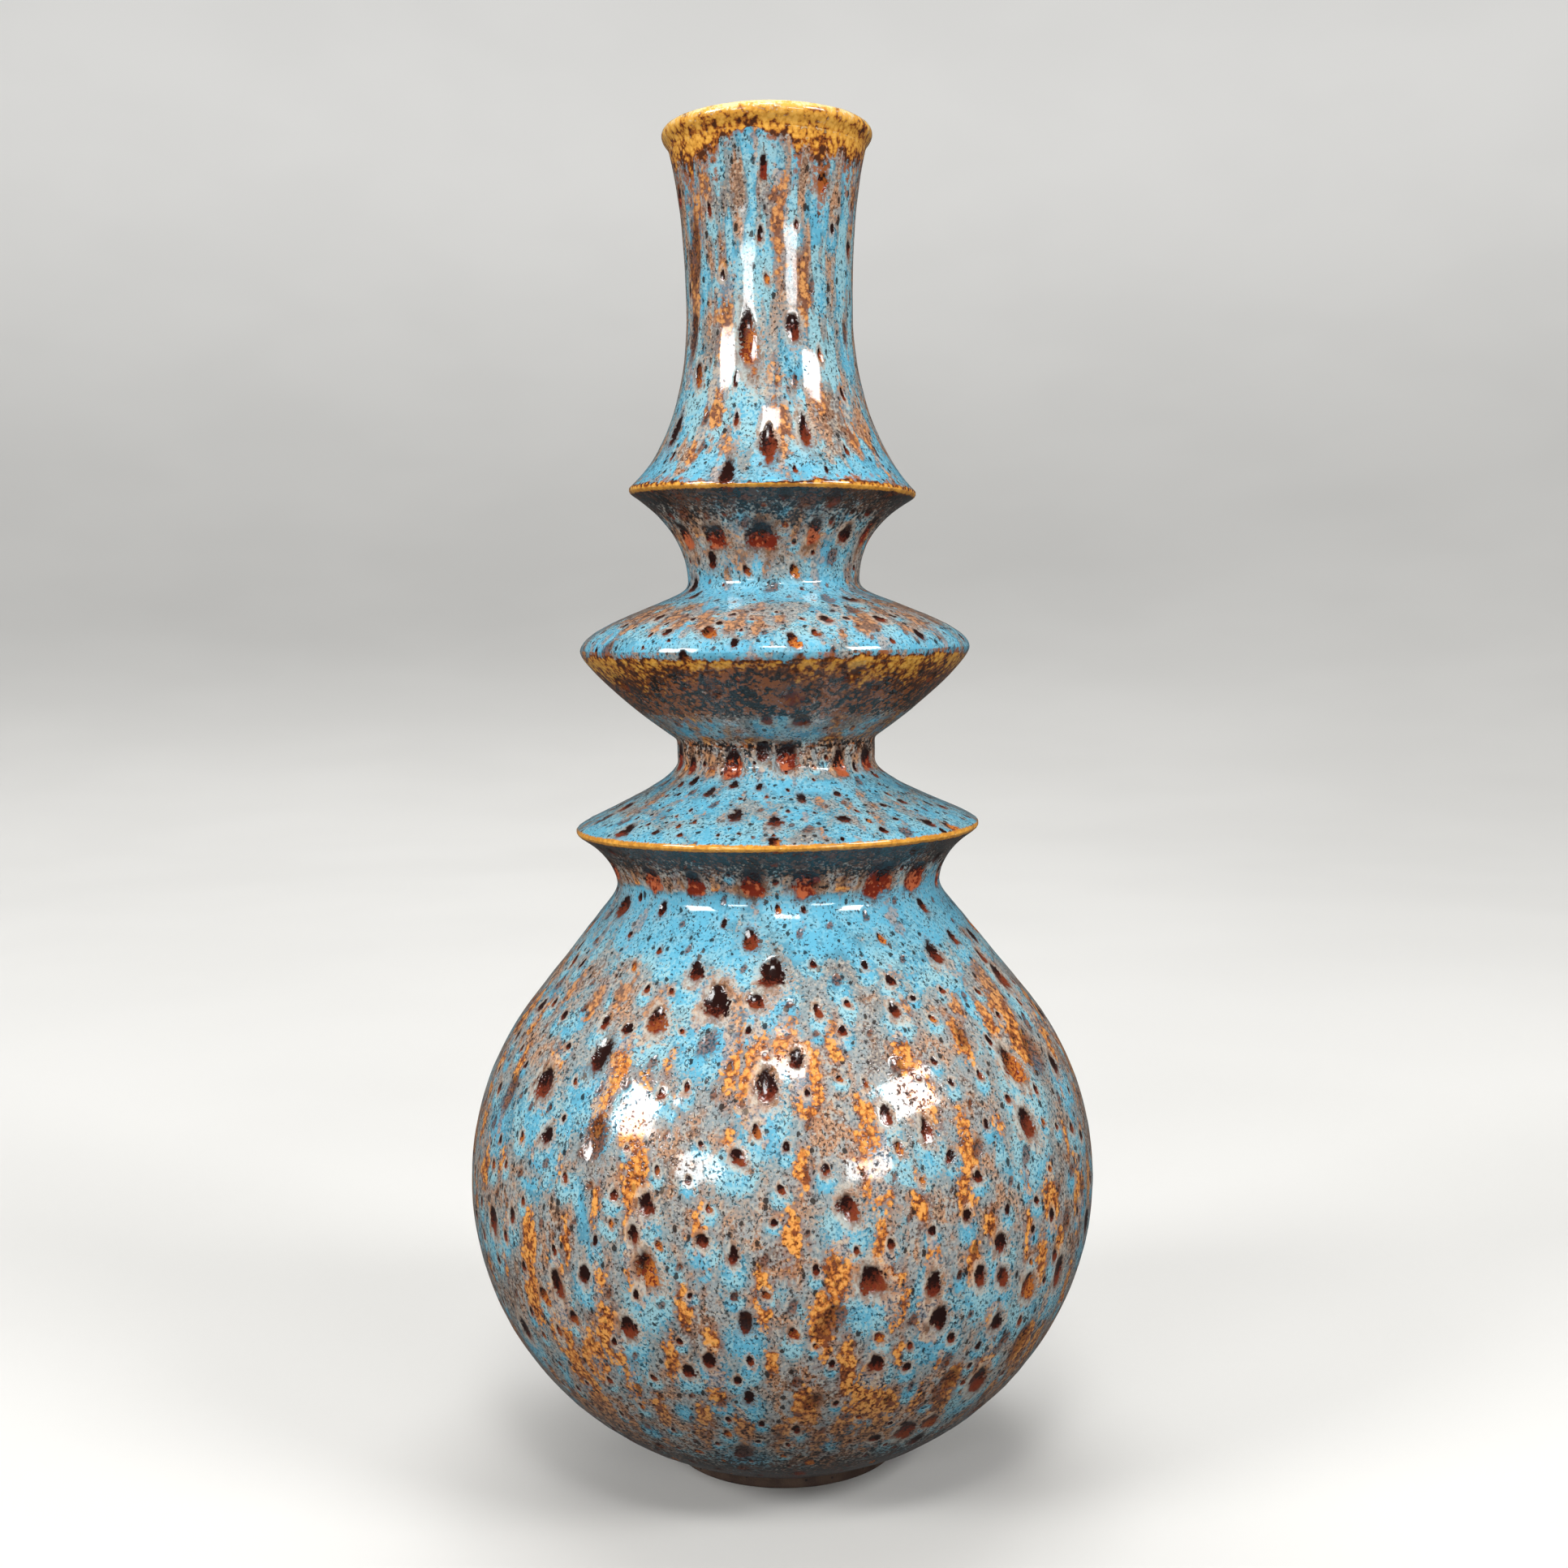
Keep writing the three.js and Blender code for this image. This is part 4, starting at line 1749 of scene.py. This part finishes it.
@dataclass(frozen=True)
class Studio:
    """Floor, lights and camera.

    Attributes:
        floor_radius: Radius of the floor, which sweeps up all round.
        sweep_height: Height of the sweep.
        sweep_round: Radius of its curve.
        floor_sides: How many straight sides its rim has.
        sweep_steps: How many stretches its curve is cut into.
        air: Colour of the even light from all round.
        sky: Strength of that light.
        eye: Where the camera stands.
        pitch: How far it looks down, in degrees.
        roll: How far its right side tips up, in degrees.
        lens: Its focal length in millimetres.
        sensor: Width of its sensor in millimetres.
        near: The nearest that it sees.
        boxes: The lights.
    """

    floor_radius: float = 4.2
    sweep_height: float = 4.0
    sweep_round: float = 3.0
    floor_sides: int = 128
    sweep_steps: int = 24
    air: Colour = srgb(228, 228, 226)
    sky: float = 0.11
    eye: tuple[float, float, float] = (1.8 * MM, -460 * MM, 206.2 * MM)
    pitch: float = 4.87
    roll: float = -0.85
    lens: float = 42.86
    sensor: float = 36.0
    near: float = 10 * MM
    boxes: tuple[SoftBox, ...] = (
        SoftBox("left_box", (-1.60, -0.92, 1.13), (0.0, 0.0, 0.12), (0.7, 0.55), 29.0),
        SoftBox("right_box", (1.09, -0.71, 1.0), (0.0, 0.0, 0.12), (0.52, 0.36), 14.5),
        SoftBox("front_left_box", (-0.70, -1.25, 0.51), (0.0, 0.0, 0.1), (0.38, 0.2), 3.7),
        SoftBox("front_right_box", (0.72, -1.24, 0.49), (0.0, 0.0, 0.1), (0.4, 0.2), 3.7),
        SoftBox("high_box", (0.02, -0.85, 1.3), (0.0, 0.0, 0.12), (0.32, 0.24), 5.0),
        SoftBox("low_box", (0.0, -1.5, 0.2), (0.0, 0.0, 0.2), (1.4, 0.3), 4.0, False),
        SoftBox("rear_box", (-0.4, 1.4, 1.3), (0.0, 0.0, 0.15), (1.4, 1.0), 12.0, False),
        SoftBox("back_box", (0.5, 1.2, 3.2), (0.0, 0.0, 0.15), (1.6, 1.0), 24.0, False),
        SoftBox("sweep_box", (0.0, 0.6, 4.2), (0.0, 3.0, 0.5), (3.0, 2.0), 75.0, False),
    )

    def build(self) -> None:
        """Lays the floor, hangs the lights and sets the camera."""
        self.lay_floor()
        for box in self.boxes:
            box.hang()
        world = bpy.data.worlds.new("studio_air")
        world.use_nodes = True
        background = world.node_tree.nodes["Background"]
        background.inputs["Color"].default_value = self.air
        background.inputs["Strength"].default_value = self.sky
        bpy.context.scene.world = world
        bpy.context.scene.view_settings.view_transform = "Standard"
        self.aim_camera()

    def lay_floor(self) -> None:
        """Makes the floor, with its rim swept up into a backdrop."""
        floor = add_circle("studio_floor", self.floor_sides, self.floor_radius, "NGON")
        bpy.ops.object.mode_set(mode="EDIT")
        bpy.ops.mesh.select_all(action="SELECT")
        bpy.ops.mesh.extrude_edges_move(TRANSFORM_OT_translate={"value": (0.0, 0.0, self.sweep_height)})
        bpy.ops.object.mode_set(mode="OBJECT")
        self.pick_rim(floor)
        bpy.ops.object.mode_set(mode="EDIT")
        bpy.ops.mesh.bevel(offset=self.sweep_round, segments=self.sweep_steps, affect="EDGES")
        bpy.ops.object.mode_set(mode="OBJECT")
        bpy.ops.object.shade_smooth()
        floor.data.materials.append(FloorPaint().material())
        floor.visible_glossy = floor.visible_diffuse = False

    def pick_rim(self, floor: bpy.types.Object) -> None:
        """Selects the floor's rim, at floor level.

        Args:
            floor: The floor, out of edit mode.
        """
        mesh = floor.data
        for vertex in mesh.vertices:
            vertex.select = vertex.co.z == 0
        for edge in mesh.edges:
            edge.select = all(mesh.vertices[i].select for i in edge.vertices)
        for face in mesh.polygons:
            face.select = False

    def aim_camera(self) -> None:
        """Sets the camera at the photographed view."""
        bpy.ops.object.camera_add(location=self.eye)
        camera = bpy.context.active_object
        camera.name = "camera"
        camera.data.lens = self.lens
        camera.data.sensor_width = self.sensor
        camera.data.clip_start = self.near
        level = Matrix.Rotation(math.radians(90 - self.pitch), 4, "X")
        rolled = Matrix.Rotation(math.radians(self.roll), 4, "Z")
        camera.matrix_world = Matrix.Translation(self.eye) @ level @ rolled
        bpy.context.scene.camera = camera


class Vase:
    """The whole vase: its joints, its sections and the marks strewn over its glaze.

    Attributes:
        brims: The joints whose edges wave, from the lowest up.
        sections: The sections, from the foot up.
        SCATTER: How each kind of mark is strewn.
        WINDOWS: The rows of red windows.
        HANGING_SHARE: Share of the pits that a bloom hangs from.
        HANGING_DROP: How far below its pit a bloom hangs, in half heights of the pit.
        HANGING_SIZE: Half width and half height of such a bloom, in those of the pit.
    """

    SCATTER: ClassVar[dict[Mark, MarkScatter]] = {
        Mark.PIT: MarkScatter(11, 9000, 5.0 * MM, (0.7 * MM, 3.2 * MM), 3.0, (1.1, 1.9), 2.6),
        Mark.BLOOM: MarkScatter(17, 6000, 7.0 * MM, (2.4 * MM, 5.0 * MM), 2.0, (0.7, 1.5), 2.0),
        Mark.STREAK: MarkScatter(23, 6000, 7.5 * MM, (1.7 * MM, 3.4 * MM), 2.0, (1.9, 4.2), 2.2),
    }
    WINDOWS: ClassVar[tuple[WindowRow, ...]] = (
        WindowRow("throat_collar", 0.22, 18, 2.4 * MM, 4.2 * MM),
        WindowRow("lower_skirt", 0.9, 13, 2.0 * MM, 3.0 * MM),
        WindowRow("upper_collar", 0.42, 12, 2.3 * MM, 4.4 * MM),
        WindowRow("bell_neck", 0.88, 7, 1.3 * MM, 3.2 * MM),
    )
    HANGING_SHARE: ClassVar[float] = 0.75
    HANGING_DROP: ClassVar[float] = 1.7
    HANGING_SIZE: ClassVar[Point] = (2.9, 2.2)

    def __init__(self) -> None:
        """Reads the joints from the frame and sets out the sections, from the foot up."""
        low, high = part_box("foot_ring")
        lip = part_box("mouth_lip")[1]
        ground = Joint(radius=high.x, height=low.z)
        seat = Joint.at_slip("foot_slip")
        belly = Joint.at_slip("belly_slip")
        shoulder = Joint.at_slip("shoulder_slip", fill=1.7 * MM)
        lower_brim = Joint.at_slip("lower_brim_slip")
        lower_waist = Joint.at_slip("lower_waist_slip")
        saucer = Joint.at_slip("saucer_slip")
        upper_waist = Joint.at_slip("upper_waist_slip", fill=0.6 * MM)
        upper_brim = Joint.at_slip("upper_brim_slip")
        mouth = Joint.at_slip("lip_slip")
        rim = Joint(radius=lip.x, height=lip.z)
        self.brims = [lower_brim, saucer, upper_brim, rim]
        self.sections: list[ThrownSection] = [
            FootRing("foot_ring", ground, seat, ("foot_slip",), turns=300),
            LowerBowl(
                "lower_bowl", seat, belly, ("belly_slip",),
                # Below zero near the foot: thinner glaze, darkened as painted shade towards the floor.
                pool=((0.0, -0.9), (0.22, -0.55), (0.4, -0.12), (0.6, -0.03), (1.0, 0.0)),
                mark_scale=((0.0, 0.6), (0.45, 0.85), (1.0, 1.0)),
                turns=600, gap=0.75 * MM,
            ),
            UpperBowl(
                "upper_bowl", belly, shoulder, ("shoulder_slip",),
                pool=((0.0, 0.0), (0.55, 0.02), (0.75, 0.12), (0.88, 0.55), (1.0, 0.6)),
                turns=600, gap=0.75 * MM,
            ),
            FlaredCollar(
                "throat_collar", shoulder, lower_brim, ("lower_brim_slip",),
                # Below zero towards the brim: thinner glaze, and painted shade under the brim.
                pool=((0.0, 0.6), (0.07, 0.3), (0.15, -0.05), (0.3, -0.15), (0.42, -0.4), (1.0, -0.8)),
                mark_scale=((0.0, 0.9), (1.0, 0.6)),
                honey_head=1.1 * MM, lean=0.8 * MM,
            ),
            LowerSkirt(
                "lower_skirt", lower_brim, lower_waist, ("lower_waist_slip",),
                # The last stop, below zero, darkens the waist as thinner glaze and painted shade under the
                # saucer.
                pool=((0.0, 0.42), (0.2, 0.32), (0.5, 0.34), (0.74, 0.48), (0.84, 0.0), (1.0, -0.35)),
                mark_scale=steady(0.6),
                honey_foot=1.3 * MM,
            ),
            SaucerUnderside(
                "saucer_underside", lower_waist, saucer, ("saucer_slip",),
                # The stops below zero darken the underside: thinner glaze, and painted shade under the
                # saucer.
                pool=(
                    (0.0, -0.5), (0.12, 0.25), (0.3, 0.15), (0.42, -0.6),
                    (0.9, -0.8), (0.94, 0.5), (1.0, 0.5),
                ),
                mark_scale=steady(0.8),
                mark_spread=1.7, honey_head=11 * MM, drip=0.25,
            ),
            SaucerTop(
                "saucer_top", saucer, upper_waist, ("upper_waist_slip",),
                pool=((0.0, 0.5), (0.14, 0.35), (0.26, 0.1), (0.6, 0.12), (0.75, 0.55), (1.0, 0.5)),
                mark_scale=steady(0.6),
            ),
            FlaredCollar(
                "upper_collar", upper_waist, upper_brim, ("upper_brim_slip",),
                # Below zero towards the brim: thinner glaze, and painted shade under the brim.
                pool=((0.0, 0.4), (0.25, 0.15), (0.5, -0.15), (0.7, -0.4), (1.0, -0.8)),
                mark_scale=steady(0.8),
                honey_head=1.3 * MM, turns=300, turn_height=12.5 * MM, lean=0.3 * MM,
            ),
            BellNeck(
                "bell_neck", upper_brim, mouth, ("lip_slip",),
                pool=((0.0, 0.6), (0.07, 0.5), (0.16, 0.15), (0.5, 0.2), (0.85, 0.2), (1.0, 0.35)),
                mark_scale=((0.0, 0.65), (0.25, 0.85), (1.0, 0.85)),
                mark_stretch=1.8, mark_spread=1.8,
                honey_foot=1.1 * MM, honey_head=5 * MM, drip=0.55, turns=300,
            ),
            MouthLip("mouth_lip", mouth, rim, turns=300),
        ]

    def draw(self) -> None:
        """Samples every glazed outline, one after the other along one run."""
        run = 0.0
        for section in self.sections:
            run = section.draw(run)

    def meridian(self) -> np.ndarray:
        """Joins the glazed outlines end to end.

        Returns:
            Rows of run, radius, height, and the scale, stretch and spread of the marks.
        """
        rows = [
            np.column_stack([
                section.start_run + section.skin_runs(),
                section.skin,
                section.along(section.mark_scale),
                np.full(len(section.skin), section.mark_stretch),
                np.full(len(section.skin), section.mark_spread),
            ])
            for section in self.sections
            if section.slot is Slot.MOTTLED
        ]
        return np.vstack(rows)

    def strew(self, scatter: MarkScatter, first: np.ndarray) -> Marks:
        """Strews marks of one kind, none nearer to another than the spacing.

        Args:
            scatter: How they are strewn.
            first: Marks that are there already, as rows of run, angle, half width, half height and luck.

        Returns:
            All the marks.
        """
        along, radii, heights, scales, stretches, spreads = self.meridian().T
        place, turn, wide, tall, luck = np.random.default_rng(scatter.seed).random((scatter.tries, 5)).T
        area = np.cumsum(radii)
        run = np.interp(place, area / area[-1], along)
        scale, stretch, spread = (np.interp(run, along, values) for values in (scales, stretches, spreads))
        low, high = scatter.half_width
        width = (low + (high - low) * wide**scatter.rarity) * scale
        height = width * stretch * (scatter.stretch[0] + np.ptp(scatter.stretch) * tall)
        rows = np.vstack([first, np.column_stack([run, turn * math.tau, width, height, luck])])
        rooms = np.concatenate([np.zeros(len(first)), scatter.spacing * scale * spread + width])
        run, angle, width, height, luck = rows.T
        radius, level = (np.interp(run, along, values) for values in (radii, heights))
        spots = np.column_stack([radius * np.cos(angle), radius * np.sin(angle), level])
        kept: list[int] = []
        for i, spot in enumerate(spots):
            if i < len(first) or np.linalg.norm(spots[kept] - spot, axis=1).min(initial=np.inf) > rooms[i]:
                kept.append(i)
        columns = (column[kept] for column in (run, angle, radius, width, height, luck))
        return Marks(*columns, scatter.reach)

    def windows(self) -> np.ndarray:
        """Sets out the windows of every row.

        Returns:
            Rows for strew, whose luck tells them from the pits.
        """
        draws = np.random.default_rng(WindowRow.SEED)
        made = []
        for row in self.WINDOWS:
            section = next(s for s in self.sections if s.name == row.section)
            run = section.start_run + row.share * section.skin_runs()[-1]
            for i in range(row.count):
                turn, wider, taller, rise, luck = draws.random(5) - 0.5
                angle = (i + row.TURN * turn) * math.tau / row.count
                wide = row.half_width * (1 + row.WIDER * wider)
                tall = row.half_height * (1 + row.TALLER * taller)
                made.append((run + row.RISE * rise, angle, wide, tall, row.LUCK + luck))
        return np.array(made)

    def marks(self) -> dict[Mark, Marks]:
        """Strews the pits and streaks, and blooms, of which most hang below a pit.

        Returns:
            The marks, by kind.
        """
        pits = self.strew(self.SCATTER[Mark.PIT], self.windows())
        streaks = self.strew(self.SCATTER[Mark.STREAK], np.empty((0, 5)))
        hung = (pits.luck > 1 - self.HANGING_SHARE) & (pits.luck < 1)
        below_pits = np.column_stack([
            pits.run - self.HANGING_DROP * pits.half_height,
            pits.angle,
            pits.half_width * self.HANGING_SIZE[0],
            pits.half_height * self.HANGING_SIZE[1],
            pits.luck,
        ])
        blooms = self.strew(self.SCATTER[Mark.BLOOM], below_pits[hung])
        LOG.info("%d pits, %d blooms, %d streaks", len(pits.run), len(blooms.run), len(streaks.run))
        return {Mark.PIT: pits, Mark.BLOOM: blooms, Mark.STREAK: streaks}


def main() -> None:
    """Builds the vase and the studio round it."""
    logging.basicConfig(level=logging.INFO, format="%(name)s: %(message)s")
    vase = Vase()
    vase.draw()
    marks = vase.marks()
    finishes = {Slot.CLAY: BareClay().material()}
    finishes[Slot.MOTTLED] = finishes[Slot.HONEY] = RunningGlaze().material()
    hand = Handmade()
    for section in vase.sections:
        section.build()
        section.shape(hand, marks, vase.brims)
        section.paint(marks)
        section.dress(finishes[section.slot])
    Studio().build()


if __name__ == "__main__":
    main()
